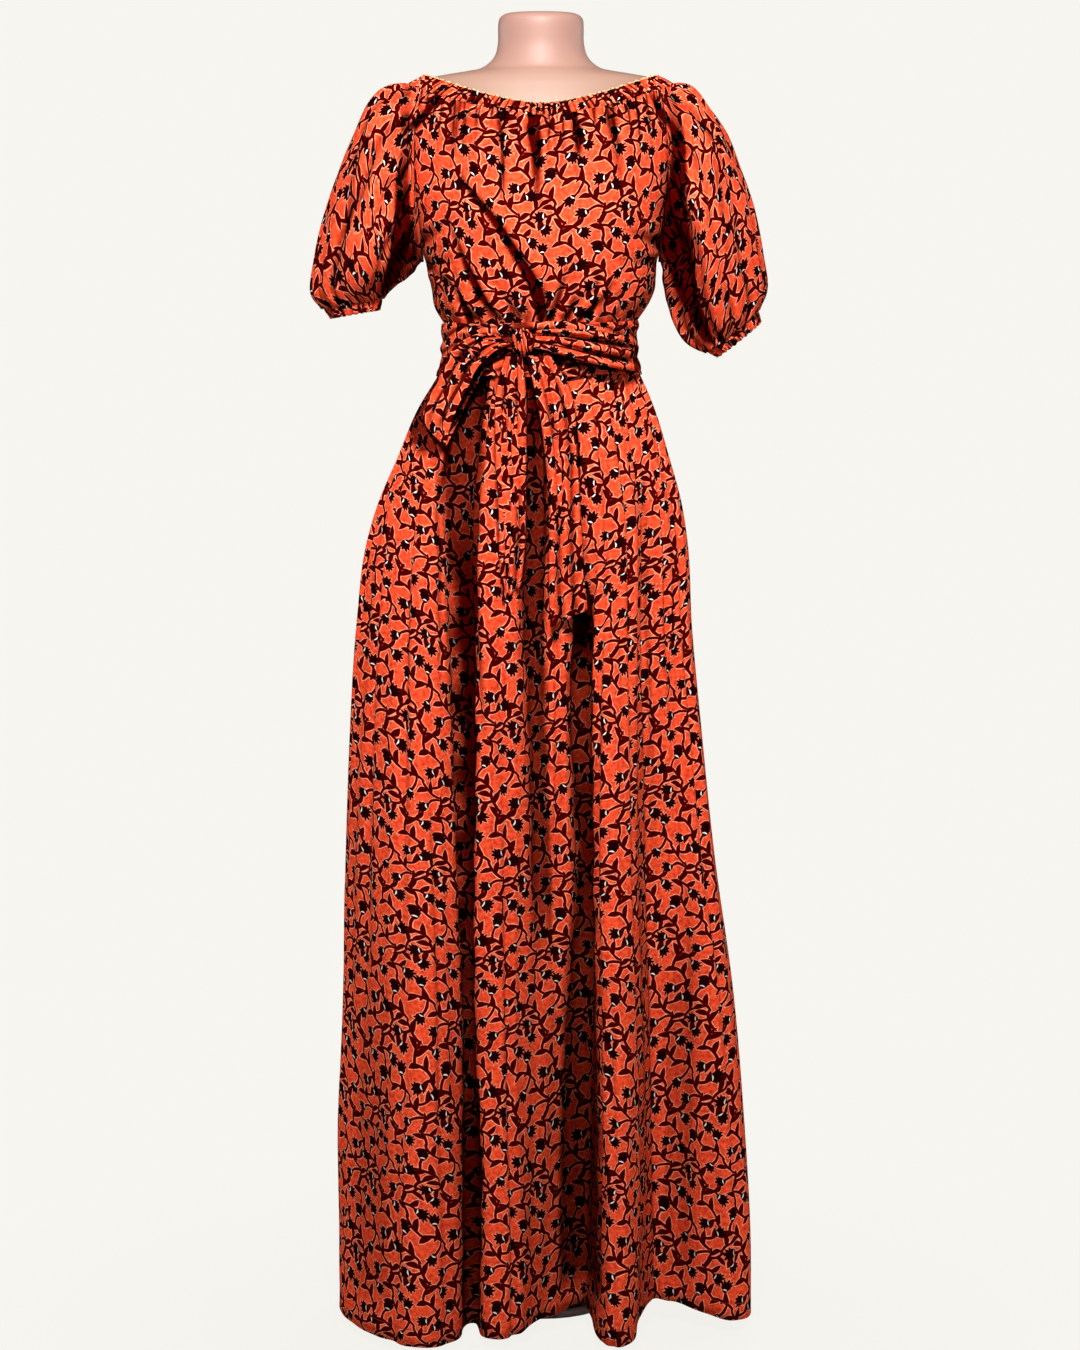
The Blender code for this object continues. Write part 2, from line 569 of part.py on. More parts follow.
def tail(table):
    """A hanging end of the sash with its lengthwise pleats and a slanted cut."""
    top = table[0][0]
    low = table[-1][0]
    across, down = np.meshgrid(np.linspace(-1, 1, STRIP_COLUMNS + 1), np.linspace(0, 1, TAIL_ROWS + 1))
    z = top + (low - top) * down
    left = smooth(table, 1, z)
    right = smooth(table, 2, z)
    pleat = TAIL_PLEAT * np.cos(2.5 * np.pi * across) * np.clip(down / 0.2, 0.3, 1)
    slant = TAIL_SLANT * across * down
    x = (left + right) / 2 + across * (right - left) / 2
    return np.stack([x, smooth(table, 3, z) - pleat, z + slant], axis=-1)


def grid_mesh(name, points, closed):
    """A grid of points as one open sheet of quads, closed across its columns when it is a tube."""
    rows, columns = points.shape[:2]
    steps = columns if closed else columns - 1
    mesh = bmesh.new()
    vertices = [[mesh.verts.new(point) for point in row] for row in points]
    for i in range(rows - 1):
        for j in range(steps):
            k = (j + 1) % columns
            mesh.faces.new([vertices[i][j], vertices[i][k], vertices[i + 1][k], vertices[i + 1][j]])
    data = bpy.data.meshes.new(name)
    mesh.to_mesh(data)
    mesh.free()
    return data


def add_object(name, data, paint, y):
    obj = bpy.data.objects.new(name, data)
    obj.location.y = y
    dress.objects.link(obj)
    material = bpy.data.materials.new(name + "_" + paint[0])
    material.use_nodes = True
    shader = material.node_tree.nodes["Principled BSDF"]
    shader.inputs["Base Color"].default_value = (*paint[1], 1.0)
    shader.inputs["Metallic"].default_value = paint[2]
    shader.inputs["Roughness"].default_value = paint[3]
    material.diffuse_color = (*paint[1], 1.0)
    data.materials.append(material)
    return obj


def add_cloth(name, points, closed=False):
    obj = add_object(name, grid_mesh(name, points, closed), FABRIC, DRESS_Y)
    wall = obj.modifiers.new("wall", "SOLIDIFY")
    wall.thickness = CLOTH_THICKNESS
    wall.offset = 0.0
    return obj


def closed_rings(name, rings, paint, y):
    """A closed body from rings with a flat cap at each end."""
    rows, columns = rings.shape[:2]
    mesh = bmesh.new()
    vertices = [[mesh.verts.new(point) for point in row] for row in rings]
    for i in range(rows - 1):
        for j in range(columns):
            k = (j + 1) % columns
            mesh.faces.new([vertices[i][j], vertices[i][k], vertices[i + 1][k], vertices[i + 1][j]])
    mesh.faces.new(vertices[0])
    mesh.faces.new(vertices[-1])
    bmesh.ops.recalc_face_normals(mesh, faces=mesh.faces)
    data = bpy.data.meshes.new(name)
    mesh.to_mesh(data)
    mesh.free()
    return add_object(name, data, paint, y)


def oval_rings(table, columns):
    turn = 2 * np.pi * np.arange(columns) / columns
    rings = []
    for z, half, front, back in table:
        depth = np.where(np.cos(turn) > 0, front, back)
        rings.append(np.stack([half * np.sin(turn), -depth * np.cos(turn), np.full(columns, z)], axis=-1))
    return np.array(rings)


def knot():
    """The sash's knot: a squashed ball with three wrapping grooves."""
    columns, rows = 18, 10
    turn = 2 * np.pi * np.arange(columns) / columns
    rings = []
    for tilt in np.linspace(KNOT_END_ANGLE, np.pi - KNOT_END_ANGLE, rows):
        groove = 1 - KNOT_GROOVE / KNOT_HALF[1] * np.cos(3 * turn) ** 2 * math.sin(tilt)
        rings.append(
            np.stack(
                [
                    KNOT_CENTRE[0] + KNOT_HALF[0] * math.cos(tilt) * np.ones(columns),
                    KNOT_CENTRE[1] + KNOT_HALF[1] * math.sin(tilt) * groove * np.cos(turn),
                    KNOT_CENTRE[2] + KNOT_HALF[2] * math.sin(tilt) * groove * np.sin(turn),
                ],
                axis=-1,
            )
        )
    return np.array(rings)


def round_profile(name, profile, paint):
    """A turned body on the pole's axis from (radius, z) pairs, from its underside up."""
    turn = 2 * np.pi * np.arange(ROUND_SEGMENTS) / ROUND_SEGMENTS
    rings = [
        np.stack([radius * np.cos(turn), radius * np.sin(turn), np.full(ROUND_SEGMENTS, z)], axis=-1)
        for radius, z in profile
    ]
    return closed_rings(name, np.array(rings), paint, 0.0)


for old in list(bpy.data.objects):
    bpy.data.objects.remove(old, do_unlink=True)
bpy.context.scene.unit_settings.scale_length = 1.0
dress = bpy.data.collections.new("wax_print_maxi_dress")
bpy.context.scene.collection.children.link(dress)

# Bodice, sleeves and their gathered edges
add_cloth("bodice_front", bodice_panel("front"))
add_cloth("bodice_back", bodice_panel("back"))
add_cloth("sleeve_right", sleeve(RIGHT_SLEEVE_SECTIONS, -1.0), closed=True)
add_cloth("sleeve_left", sleeve(LEFT_SLEEVE_SECTIONS, 1.0), closed=True)
add_cloth("cuff_right", cuff(RIGHT_SLEEVE_SECTIONS, -1.0), closed=True)
add_cloth("cuff_left", cuff(LEFT_SLEEVE_SECTIONS, 1.0), closed=True)
add_cloth("neck_casing", neck_casing(), closed=True)

# Skirt
add_cloth("skirt_front", skirt_panel("front"))
add_cloth("skirt_back", skirt_panel("back"))

# Sash
add_cloth("sash_wrap", sash_wrap(), closed=True)
add_cloth("bow_loop_right", bow_loop(RIGHT_LOOP))
add_cloth("bow_loop_left", bow_loop(LEFT_LOOP))
add_cloth("sash_tail_right", tail(RIGHT_TAIL))
add_cloth("sash_tail_left", tail(LEFT_TAIL))
closed_rings("sash_knot", knot(), FABRIC, DRESS_Y)

# Dress form and its stand
low_z, low_half, low_front, low_back = FORM_SECTIONS[-1]
form_bottom = low_z - FORM_BASE_BEVEL
form_sections = FORM_SECTIONS + [
    (form_bottom, low_half - FORM_BASE_BEVEL, low_front - FORM_BASE_BEVEL, low_back - FORM_BASE_BEVEL)
]
closed_rings("form_body", oval_rings(form_sections, FORM_COLUMNS), FORM_SKIN, DRESS_Y)
round_profile(
    "stand_pole",
    [(POLE_RADIUS, BASE_THICKNESS + POLE_SOCKET_GAP), (POLE_RADIUS, form_bottom - POLE_SOCKET_GAP)],
    STEEL,
)
round_profile(
    "stand_base",
    [
        (BASE_RADIUS, 0.0),
        (BASE_RADIUS, BASE_THICKNESS - BASE_BEVEL),
        (BASE_RADIUS - BASE_BEVEL, BASE_THICKNESS),
    ],
    STEEL,
)
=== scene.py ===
import math

import bpy
import numpy as np
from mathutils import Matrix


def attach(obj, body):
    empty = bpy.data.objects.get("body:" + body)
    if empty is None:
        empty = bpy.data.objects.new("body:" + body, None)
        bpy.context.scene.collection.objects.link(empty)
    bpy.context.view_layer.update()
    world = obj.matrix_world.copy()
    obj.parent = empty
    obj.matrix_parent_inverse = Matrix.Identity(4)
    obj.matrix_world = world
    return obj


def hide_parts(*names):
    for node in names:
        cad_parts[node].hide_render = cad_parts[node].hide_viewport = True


# Wax print maxi dress on its dress form. "right" and "left" are the wearer's: right is at -X.
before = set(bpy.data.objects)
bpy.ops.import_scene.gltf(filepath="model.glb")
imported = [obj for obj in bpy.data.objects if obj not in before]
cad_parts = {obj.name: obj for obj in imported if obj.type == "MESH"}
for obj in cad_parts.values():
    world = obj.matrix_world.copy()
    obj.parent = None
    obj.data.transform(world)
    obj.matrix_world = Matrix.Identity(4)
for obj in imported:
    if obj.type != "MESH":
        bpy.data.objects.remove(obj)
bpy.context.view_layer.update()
scene = bpy.context.scene
dressY = -0.045  # the dress hangs this far in front of the pole

# helpers for node trees


def feed(tree, socket, value):
    if isinstance(value, bpy.types.NodeSocket):
        tree.links.new(value, socket)
    elif value is not None:
        socket.default_value = value


def newNode(tree, kind, group=None, **values):
    # values are its inputs by name, each a number, a colour or another node's output
    node = tree.nodes.new("ShaderNode" + kind)
    if group:
        node.node_tree = group
    for name, value in values.items():
        feed(tree, node.inputs[name.replace("_", " ")], value)
    return node


def maths(tree, operation, *values, kind="Math"):
    node = newNode(tree, kind)
    node.operation = operation
    for socket, value in zip(node.inputs, values):
        feed(tree, socket, value)
    return node.outputs["Value" if kind == "Math" or operation in ("DOT_PRODUCT", "LENGTH") else "Vector"]


def vectors(tree, operation, *values):
    return maths(tree, operation, *values, kind="VectorMath")


def mixColour(tree, factor, first, second, blend="MIX"):
    node = newNode(tree, "Mix")
    node.data_type = "RGBA"
    node.blend_type = blend
    for index, value in ((0, factor), (6, first), (7, second)):
        feed(tree, node.inputs[index], (*value, 1) if isinstance(value, tuple) else value)
    return node.outputs[2]


def mixShaders(tree, factor, first, second):
    node = newNode(tree, "MixShader", Fac=factor)
    feed(tree, node.inputs[1], first.outputs[0])
    feed(tree, node.inputs[2], second.outputs[0])
    return node.outputs[0]


def ramp(tree, value, low, high, first=1.0, last=0.0):
    node = newNode(tree, "MapRange", Value=value, From_Min=low, From_Max=high, To_Min=first, To_Max=last)
    return node.outputs["Result"]


def noise(tree, place, scale, detail, **values):
    return newNode(tree, "TexNoise", Vector=place, Scale=scale, Detail=detail, **values).outputs


def bump(tree, height, strength, distance, normal=None):
    node = newNode(tree, "Bump", Height=height, Strength=strength, Distance=distance, Normal=normal)
    return node.outputs[0]


def newMaterial(name):
    material = bpy.data.materials.new(name)
    material.use_nodes = True
    return material, material.node_tree, material.node_tree.nodes["Principled BSDF"].inputs


def newGroup(name, takes, gives):
    # takes and gives name its sockets, each with its kind
    group = bpy.data.node_groups.new(name, "ShaderNodeTree")
    for way, sockets in (("INPUT", takes), ("OUTPUT", gives)):
        for socket, kind in sockets.items():
            group.interface.new_socket(name=socket, in_out=way, socket_type="NodeSocket" + kind)
    return group, group.nodes.new("NodeGroupInput").outputs, group.nodes.new("NodeGroupOutput").inputs


# camera, floor and light
studio = {
    "cameraPlace": (-0.0012, -4.045, 1.25),
    "cameraTilt": 83.22,
    "lens": 90.375, "sensor": 36.0, "seesTo": 50.0,
    "paper": (0.930, 0.914, 0.871),
    "floorShade": (0.55, 0.54, 0.52), "floorSize": 16.0, "floorDrop": 0.0005,
    "shadowFade": (0.25, 0.75, 0.94, 1.0),  # from and to this far from the middle, share of paper there
    "ambient": (0.62, 0.56, 0.54),
    "ambientStrength": 0.10,
    "lights": [  # name, place, aim, size, watts, spread, colour
        ("keyLight", (-0.05, -2.15, 2.70), (0.0, -0.1, 1.30), 0.45, 22.8, 76.0, (1.0, 0.965, 0.92)),
        ("fillLight", (2.1, -2.4, 1.00), (0.0, -0.1, 0.95), 1.2, 8.0, 180.0, (1.0, 0.78, 0.72)),
        ("sideLight", (-2.2, -1.6, 1.2), (0.0, -0.1, 1.00), 1.2, 4.5, 180.0, (1.0, 0.78, 0.72)),
        ("leftLight", (2.6, 1.3, 1.4), (0.0, 0.0, 1.0), 0.8, 23.0, 180.0, (1.0, 0.96, 0.93)),
        ("rightLight", (-2.6, 1.3, 1.4), (0.0, 0.0, 1.0), 0.8, 23.0, 180.0, (1.0, 0.96, 0.93)),
        ("backLight", (0.7, 2.8, 1.3), (0.0, 0.0, 1.15), 0.8, 84.0, 180.0, (1.0, 0.965, 0.93)),
    ],
}


def buildStudio(s):
    cameraData = bpy.data.cameras.new("photoCamera")
    cameraData.lens = s["lens"]
    cameraData.sensor_width = s["sensor"]
    cameraData.clip_end = s["seesTo"]
    camera = bpy.data.objects.new("photoCamera", cameraData)
    camera.location = s["cameraPlace"]
    camera.rotation_euler = (math.radians(s["cameraTilt"]), 0, 0)
    scene.collection.objects.link(camera)
    scene.camera = camera
    for name, place, aim, size, watts, spread, tint in s["lights"]:
        light = bpy.data.lights.new(name, "AREA")
        light.shape = "DISK"
        light.size = size
        light.spread = math.radians(spread)
        light.energy = watts
        light.color = tint
        lamp = bpy.data.objects.new(name, light)
        lamp.location = place
        x, y, z = np.array(place) - np.array(aim)
        lamp.rotation_euler = (math.atan2(math.hypot(x, y), z), 0, math.atan2(x, -y))
        scene.collection.objects.link(lamp)
    # the camera sees plain paper, and the dress gets an even grey light from all round
    world = bpy.data.worlds.new("paleStudio")
    world.use_nodes = True
    scene.world = world
    tree = world.node_tree
    tree.nodes.clear()
    seen = newNode(tree, "Background", Color=(*s["paper"], 1))
    felt = newNode(tree, "Background", Color=(*s["ambient"], 1), Strength=s["ambientStrength"])
    byCamera = newNode(tree, "LightPath").outputs["Is Camera Ray"]
    newNode(tree, "OutputWorld", Surface=mixShaders(tree, byCamera, felt, seen))
    # floor of the same paper, with a soft shadow that fades out round the hem
    bpy.ops.object.select_all(action="DESELECT")
    bpy.ops.mesh.primitive_plane_add(size=s["floorSize"], location=(0, 0, -s["floorDrop"]))
    floor = bpy.context.object
    floor.name = "paperFloor"
    paper, tree, _ = newMaterial("palePaper")
    tree.nodes.clear()
    glow = newNode(tree, "Emission", Color=(*s["paper"], 1))
    dull = newNode(tree, "BsdfDiffuse", Color=(*s["floorShade"], 1))
    away = vectors(tree, "LENGTH", newNode(tree, "TexCoord").outputs["Object"])
    byCamera = newNode(tree, "LightPath").outputs["Is Camera Ray"]
    share = maths(tree, "MULTIPLY", byCamera, ramp(tree, away, *s["shadowFade"]))
    newNode(tree, "OutputMaterial", Surface=mixShaders(tree, share, dull, glow))
    floor.data.materials.append(paper)
    scene.view_settings.view_transform = "Standard"
    scene.view_settings.look = "None"


buildStudio(studio)
print("studio ready")

# the print: one charted repeat in millimetres, laid in bricks
printChart = {
    "width": 85.0, "height": 80.0,
    "scale": 1.14,  # the whole chart is printed this much larger
    "shift": 48.0,  # each row of repeats sits this far to the left of the one below
    "stemHalf": 1.12, "stemOverlap": 2.0,
    "stems": [  # x, y, end x, end y, bow to the left of its way
        (0, 0, 7, 19, 2.5), (7, 19, -3, 39, 3), (-3, 39, -24, 53, -3), (-24, 53, -33, 66, 3),
        (-33, 66, -48, 80, -2.5), (41, 0, 36, 17, -2.5), (36, 17, 43, 34, -3), (43, 34, 27, 52, 3.5),
        (27, 52, 5, 62, -3), (5, 62, -7, 80, 3), (5, 14, 18, 9, 2.8), (0, 33, -13, 30, 3),
        (-18, 50, -14, 63, 2.6), (-30, 62, -42, 60, -3), (38, 12, 50, 7, 2.8), (42, 30, 28, 27, -2.8),
        (36, 45, 49, 49, -2.2), (14, 59, 17, 71, -2.6), (20, 56, 13, 45, 2), (57, 30, 68, 20, 3.4),
        (42, 26, 57, 30, -2.4), (57, 30, 66, 39, 3),
    ],
    "leafHalf": 2.45,
    "leaves": [  # x, y, degrees, half length, bend: each grows from a stem
        (7, 9.7, 22, 7.2, 1.6), (-1.4, 19, 120, 7, -1.6), (2.8, 32.8, 65, 6.6, 1.6),
        (-9.9, 35.7, 163, 7.2, -1.6), (-7.2, 51, 96, 6.8, 1.6), (-21, 48.3, 192, 7, -1.6),
        (-29.6, 65, 75, 6.6, 1.6), (-36.5, 79.8, 89, 7, 1.6), (-49.8, 77.2, 187, 6.8, -1.6),
        (34.7, 10.4, 156, 7, -1.6), (42.7, 19.5, 54, 6.4, 1.6), (49.9, 30.3, 24, 7, 1.6),
        (36.2, 44.9, 84, 7, 1.6), (24.4, 41.6, 184, 6.6, -1.6), (20.6, 63.5, 106, 6.8, 1.6),
        (6.6, 58.6, 202, 7, -1.6), (1.2, 72.6, 74, 6.8, 1.6), (-12.3, 73.2, 172, 7, -1.6),
        (56.3, 22.1, 325, 6.4, 1.4), (59.8, 44, 95, 6.4, -1.6), (71.4, 41.5, 15, 7, 1.6),
        (46, 50.5, 67, 5.6, -1.4), (64.5, 21.5, 268, 5.8, 1.4), (51.1, 14.9, 29, 6, -1.4),
        (18, 17.7, 33, 6.4, -1.4), (-39.5, 58.8, 239, 5.8, -1.4), (-9.3, 23.4, 241, 5.6, -1.4),
    ],
    "heads": [  # x, y, degrees, size, teeth all round: each ends a side stem
        (22.4, 6.7, 333, 8, 13), (-17.7, 29.8, 183, 7.6, 11), (-12.5, 67.9, 73, 8.2, 13),
        (-46.6, 59.2, 189, 7.6, 11), (54.5, 4.6, 331, 8.2, 13), (23.5, 26, 192, 7.4, 11),
        (53.7, 50.5, 17, 8, 13), (18.1, 75.6, 76, 7.6, 11), (10.7, 41.4, 238, 6.9, 11),
        (70.9, 16.5, 310, 7.3, 11),
    ],
    # shares of a head's size
    "headWidth": 1.20, "headTaper": -0.33, "headCore": 0.70, "toothLength": 0.90, "toothFront": 0.35,
    "barPlace": 0.30, "barBow": 0.72, "barHalf": 0.085, "barTaper": 0.60,
    "drifts": [(38.0, 1.0, 0.0040), (7.0, 0.0, 0.030)],  # noise scale, detail, metres
    "clouds": (210.0, 3.0), "cloudFade": (0.30, 0.62),
    # millimetres from the ink's edge
    "haloPlace": 0.86, "haloFade": (0.14, 0.50), "rimFade": (0.26, 0.58), "inkFade": (-0.16, 0.26),
    "edgeFade": (-0.2, 0.2), "haloShare": (-0.75, 1.0),
    "ground": (0.95, 0.098, 0.034),
    "groundDeep": (0.58, 0.032, 0.014),
    "halo": (1.0, 0.52, 0.32),
    "rim": (0.27, 0.0060, 0.0035),
    "maroon": (0.052, 0.0008, 0.0008),
    "black": (0.012, 0.0005, 0.0012),
    "white": (0.92, 0.86, 0.80),
}
motifSockets = {"Place": "Vector", "Centre": "Vector", "Along": "Vector", "Across": "Vector"}


def localAxes(tree, given):
    # wraps the place round the motif's centre, then reads it along and across the motif
    apart = vectors(tree, "SUBTRACT", given["Place"], given["Centre"])
    near = vectors(tree, "WRAP", apart, (0.5, 0.5, 0.5), (-0.5, -0.5, -0.5))
    return [vectors(tree, "DOT_PRODUCT", near, given[way]) for way in ("Along", "Across")]


def makeStroke(name, tapers):
    # a bowed stroke that narrows to its ends, and later the more often its taper is squared
    group, given, out = newGroup(
        name, {**motifSockets, "Bow": "Float", "Half Width": "Float"}, {"Distance": "Float"})
    along, across = localAxes(group, given)
    square = taper = maths(group, "MULTIPLY", along, along)
    for _ in range(tapers):
        taper = maths(group, "MULTIPLY", taper, taper)
    bow = maths(group, "MULTIPLY_ADD", square, given["Bow"], across)
    off = maths(group, "ABSOLUTE", maths(group, "SUBTRACT", bow, given["Bow"]))
    width = maths(group, "MULTIPLY_ADD", taper, given["Half Width"], off)
    feed(group, out["Distance"], maths(group, "SUBTRACT", width, given["Half Width"]))
    return group


def makeHead(chart):
    takes = {**motifSockets, "Size": "Float", "Teeth": "Float"}
    group, given, out = newGroup("flowerHead", takes, {"Distance": "Float", "White": "Float"})
    along, across = localAxes(group, given)
    swell = maths(group, "MULTIPLY_ADD", along, chart["headTaper"], chart["headWidth"])
    wide = maths(group, "MULTIPLY", across, swell)
    wideSquare = maths(group, "MULTIPLY", wide, wide)
    radius = maths(group, "SQRT", maths(group, "MULTIPLY_ADD", along, along, wideSquare))
    turn = maths(group, "ARCTAN2", wide, along)
    teeth = maths(group, "MULTIPLY_ADD", turn, maths(group, "DIVIDE", given["Teeth"], 2 * math.pi), 0.5)
    front = maths(group, "ADD", along, chart["toothFront"])
    front.node.use_clamp = True
    spikes = maths(group, "MULTIPLY", maths(group, "PINGPONG", teeth, 0.5), front)
    reach = maths(group, "MULTIPLY_ADD", spikes, chart["toothLength"], chart["headCore"])
    edge = maths(group, "SUBTRACT", radius, reach)
    feed(group, out["Distance"], maths(group, "MULTIPLY", edge, given["Size"]))
    # the pale bar where the stem comes in, bowed towards the teeth
    square = maths(group, "MULTIPLY", across, across)
    fromBar = maths(group, "ADD", along, chart["barPlace"])
    bowed = maths(group, "MULTIPLY_ADD", square, chart["barBow"], fromBar)
    bar = maths(group, "SUBTRACT", maths(group, "ABSOLUTE", bowed), chart["barHalf"])
    barEdge = maths(group, "MULTIPLY_ADD", square, chart["barTaper"], bar)
    feed(group, out["White"], maths(group, "MULTIPLY", barEdge, given["Size"]))
    return group


def makeWaxPrint(chart):
    group, given, out = newGroup("waxPrint", {"Cloth": "Vector"}, {"Colour": "Color", "Ink": "Float"})
    stem, leaf, head = makeStroke("stemStroke", 2), makeStroke("leafMark", 0), makeHead(chart)
    width, height, shift = chart["width"], chart["height"], chart["shift"]
    # slow drifts keep the hand-cut look, so no two repeats line up exactly
    moved = given["Cloth"]
    for scale, detail, reach in chart["drifts"]:
        drift = noise(group, given["Cloth"], scale, detail)["Color"]
        moved = vectors(group, "MULTIPLY_ADD", drift, (reach, reach, 0.0), moved)
    parts = newNode(group, "SeparateXYZ", Vector=moved).outputs
    up = maths(group, "MULTIPLY", parts[1], 1000.0 / (height * chart["scale"]))
    sideways = maths(group, "MULTIPLY", parts[0], 1000.0 / (width * chart["scale"]))
    sideways = maths(group, "MULTIPLY_ADD", up, shift / width, sideways)
    place = newNode(group, "CombineXYZ", X=sideways, Y=up).outputs[0]

    def add(motif, x, y, degrees, long, wide, **values):
        c, s = math.cos(math.radians(degrees)), math.sin(math.radians(degrees))
        return newNode(
            group, "Group", motif, Place=place, Centre=((x + shift * y / height) / width, y / height, 0),
            Along=(c * width / long, (s * height - c * shift) / long, 0),
            Across=(-s * width / wide, (c * height + s * shift) / wide, 0), **values).outputs

    def nearest(outputs):
        while len(outputs) > 1:
            pairs = [outputs[i:i + 2] for i in range(0, len(outputs), 2)]
            outputs = [maths(group, "MINIMUM", *pair) if len(pair) > 1 else pair[0] for pair in pairs]
        return outputs[0]

    strokes = []
    for x, y, endX, endY, bow in chart["stems"]:
        half = math.hypot(endX - x, endY - y) / 2 + chart["stemOverlap"]
        turn = math.degrees(math.atan2(endY - y, endX - x))
        middle = (x + endX) / 2, (y + endY) / 2
        strokes.append(add(stem, *middle, turn, half, 1.0, Bow=bow, Half_Width=chart["stemHalf"])[0])
    for x, y, degrees, half, bend in chart["leaves"]:
        strokes.append(add(leaf, x, y, degrees, half, 1.0, Bow=bend, Half_Width=chart["leafHalf"])[0])
    heads = [add(head, x, y, degrees, size, size, Size=size, Teeth=teeth)
             for x, y, degrees, size, teeth in chart["heads"]]
    lines = nearest(strokes)
    blots = nearest([outputs["Distance"] for outputs in heads])
    bars = nearest([outputs["White"] for outputs in heads])
    ink = maths(group, "MINIMUM", lines, blots)
    # the ground is dyed a little unevenly
    clouds = noise(group, given["Cloth"], *chart["clouds"])["Fac"]
    tone = ramp(group, clouds, *chart["cloudFade"])
    ground = mixColour(group, tone, chart["ground"], chart["groundDeep"])
    # a pale line shows round the ink, wider and brighter in places
    haloDistance = maths(group, "ABSOLUTE", maths(group, "SUBTRACT", ink, chart["haloPlace"]))
    haloShare = maths(group, "MULTIPLY_ADD", tone, *chart["haloShare"])
    halo = maths(group, "MULTIPLY", ramp(group, haloDistance, *chart["haloFade"]), haloShare)
    colour = mixColour(group, halo, ground, chart["halo"])
    # the ink's own edge bleeds to a deep red
    colour = mixColour(group, ramp(group, ink, *chart["rimFade"]), colour, chart["rim"])
    colour = mixColour(group, ramp(group, lines, *chart["inkFade"]), colour, chart["maroon"])
    colour = mixColour(group, ramp(group, blots, *chart["inkFade"]), colour, chart["black"])
    colour = mixColour(group, ramp(group, bars, *chart["edgeFade"]), colour, chart["white"])
    feed(group, out["Colour"], colour)
    feed(group, out["Ink"], ramp(group, ink, *chart["edgeFade"]))
    return group


def makeWeave(c):
    # plain weave from the cloth's own measure, with the small crumples of worn cotton
    group, given, out = newGroup(
        "plainWeave", {"Cloth": "Vector", "Pitch": "Float"}, {"Height": "Float", "Crumple": "Float"})
    parts = newNode(group, "SeparateXYZ", Vector=given["Cloth"]).outputs
    threads = [maths(group, "DIVIDE", parts[axis], given["Pitch"]) for axis in (0, 1)]
    waves = [maths(group, "PINGPONG", thread, 0.5) for thread in threads]
    feed(group, out["Height"], maths(group, "MULTIPLY", *waves))
    crumples = noise(group, given["Cloth"], *c["crumples"], Distortion=c["crumpleTwist"])
    feed(group, out["Crumple"], crumples["Fac"])
    return group


cotton = {
    "threadPitch": 0.0006, "crumples": (95.0, 4.0), "crumpleTwist": 0.6,
    "deepShade": (0.060, 0.008, 0.011),  # painted shade: where the painted shade mark is full, the cloth is multiplied by this colour
    "creamThread": (0.78, 0.52, 0.26),  # oversews the cut edge of the neck
    "stitch": (0.30, 0.020, 0.012), "stitchHeight": 0.020, "stitchPitch": 0.0016, "stitchLength": 0.0011,
    "stitchFade": (0.0003, 0.0007), "stitchRise": 1.5,
    "crumple": (0.45, 0.0016), "thread": (0.25, 0.00012),  # bump strength, depth
    "roughness": (-0.10, 0.80),  # how much the ink takes off, and the bare cloth's
}


def makeWaxPrintCotton(c):
    material, tree, shader = newMaterial("waxPrintCotton")
    uvMap = newNode(tree, "UVMap")
    uvMap.uv_map = "UVMap"
    cloth = uvMap.outputs[0]
    dye = newNode(tree, "Group", makeWaxPrint(printChart), Cloth=cloth).outputs
    weave = newNode(tree, "Group", makeWeave(c), Cloth=cloth, Pitch=c["threadPitch"]).outputs

    def mark(name):
        node = newNode(tree, "Attribute")
        node.attribute_name = name
        return node.outputs["Fac"]

    # painted shade: the mark darkens the print in folds, gathers, under the bow and beside the arms
    colour = mixColour(tree, mark("paintedShade"), dye["Colour"], c["deepShade"], "MULTIPLY")
    # the cream thread at the neck's cut edge, dimmed by painted shade between the gathers
    colour = mixColour(tree, mark("oversewnWithShade"), colour, c["creamThread"])
    # the hem's line of stitches
    near = maths(tree, "ABSOLUTE", maths(tree, "SUBTRACT", mark("fromHem"), c["stitchHeight"]))
    along = newNode(tree, "SeparateXYZ", Vector=cloth).outputs[0]
    dash = maths(tree, "LESS_THAN", maths(tree, "PINGPONG", along, c["stitchPitch"]), c["stitchLength"])
    stitch = maths(tree, "MULTIPLY", ramp(tree, near, *c["stitchFade"]), dash)
    feed(tree, shader["Base Color"], mixColour(tree, stitch, colour, c["stitch"]))
    feed(tree, shader["Roughness"], maths(tree, "MULTIPLY_ADD", dye["Ink"], *c["roughness"]))
    shader["Specular IOR Level"].default_value = 0.0
    crumpled = bump(tree, weave["Crumple"], *c["crumple"])
    threads = maths(tree, "MULTIPLY_ADD", stitch, c["stitchRise"], weave["Height"])
    feed(tree, shader["Normal"], bump(tree, threads, *c["thread"], crumpled))
    return material


waxPrintCotton = makeWaxPrintCotton(cotton)
print("print charted")

# shared shape helpers


def metres(rows, *plain):
    # rows in millimetres, but for the plain columns, which are shares, turns, angles or shades
    if isinstance(rows[0], list):
        return [metres(row, *plain) for row in rows]
    return [tuple(value if at in plain else value / 1000 for at, value in enumerate(row)) for row in rows]


def spread(low, high, columns, rows, power=1.0):
    # an even grid from low to high across, and from 0 to 1 down, closer at the start where power is over 1
    return np.meshgrid(np.linspace(low, high, columns + 1), np.linspace(0, 1, rows) ** power)


def rising(value, start, reach):
    # from 0 at start to 1 one reach further on
    return np.clip((value - start) / reach, 0, 1)


def falling(value, end, reach):
    # from 1 one reach before end to 0 at it
    return np.clip((end - value) / reach, 0, 1)


def bell(off):
    # 1 in the middle, and next to nothing two half widths off it
    return np.exp(-off ** 2)


def eased(share):
    return share * share * (3 - 2 * share)


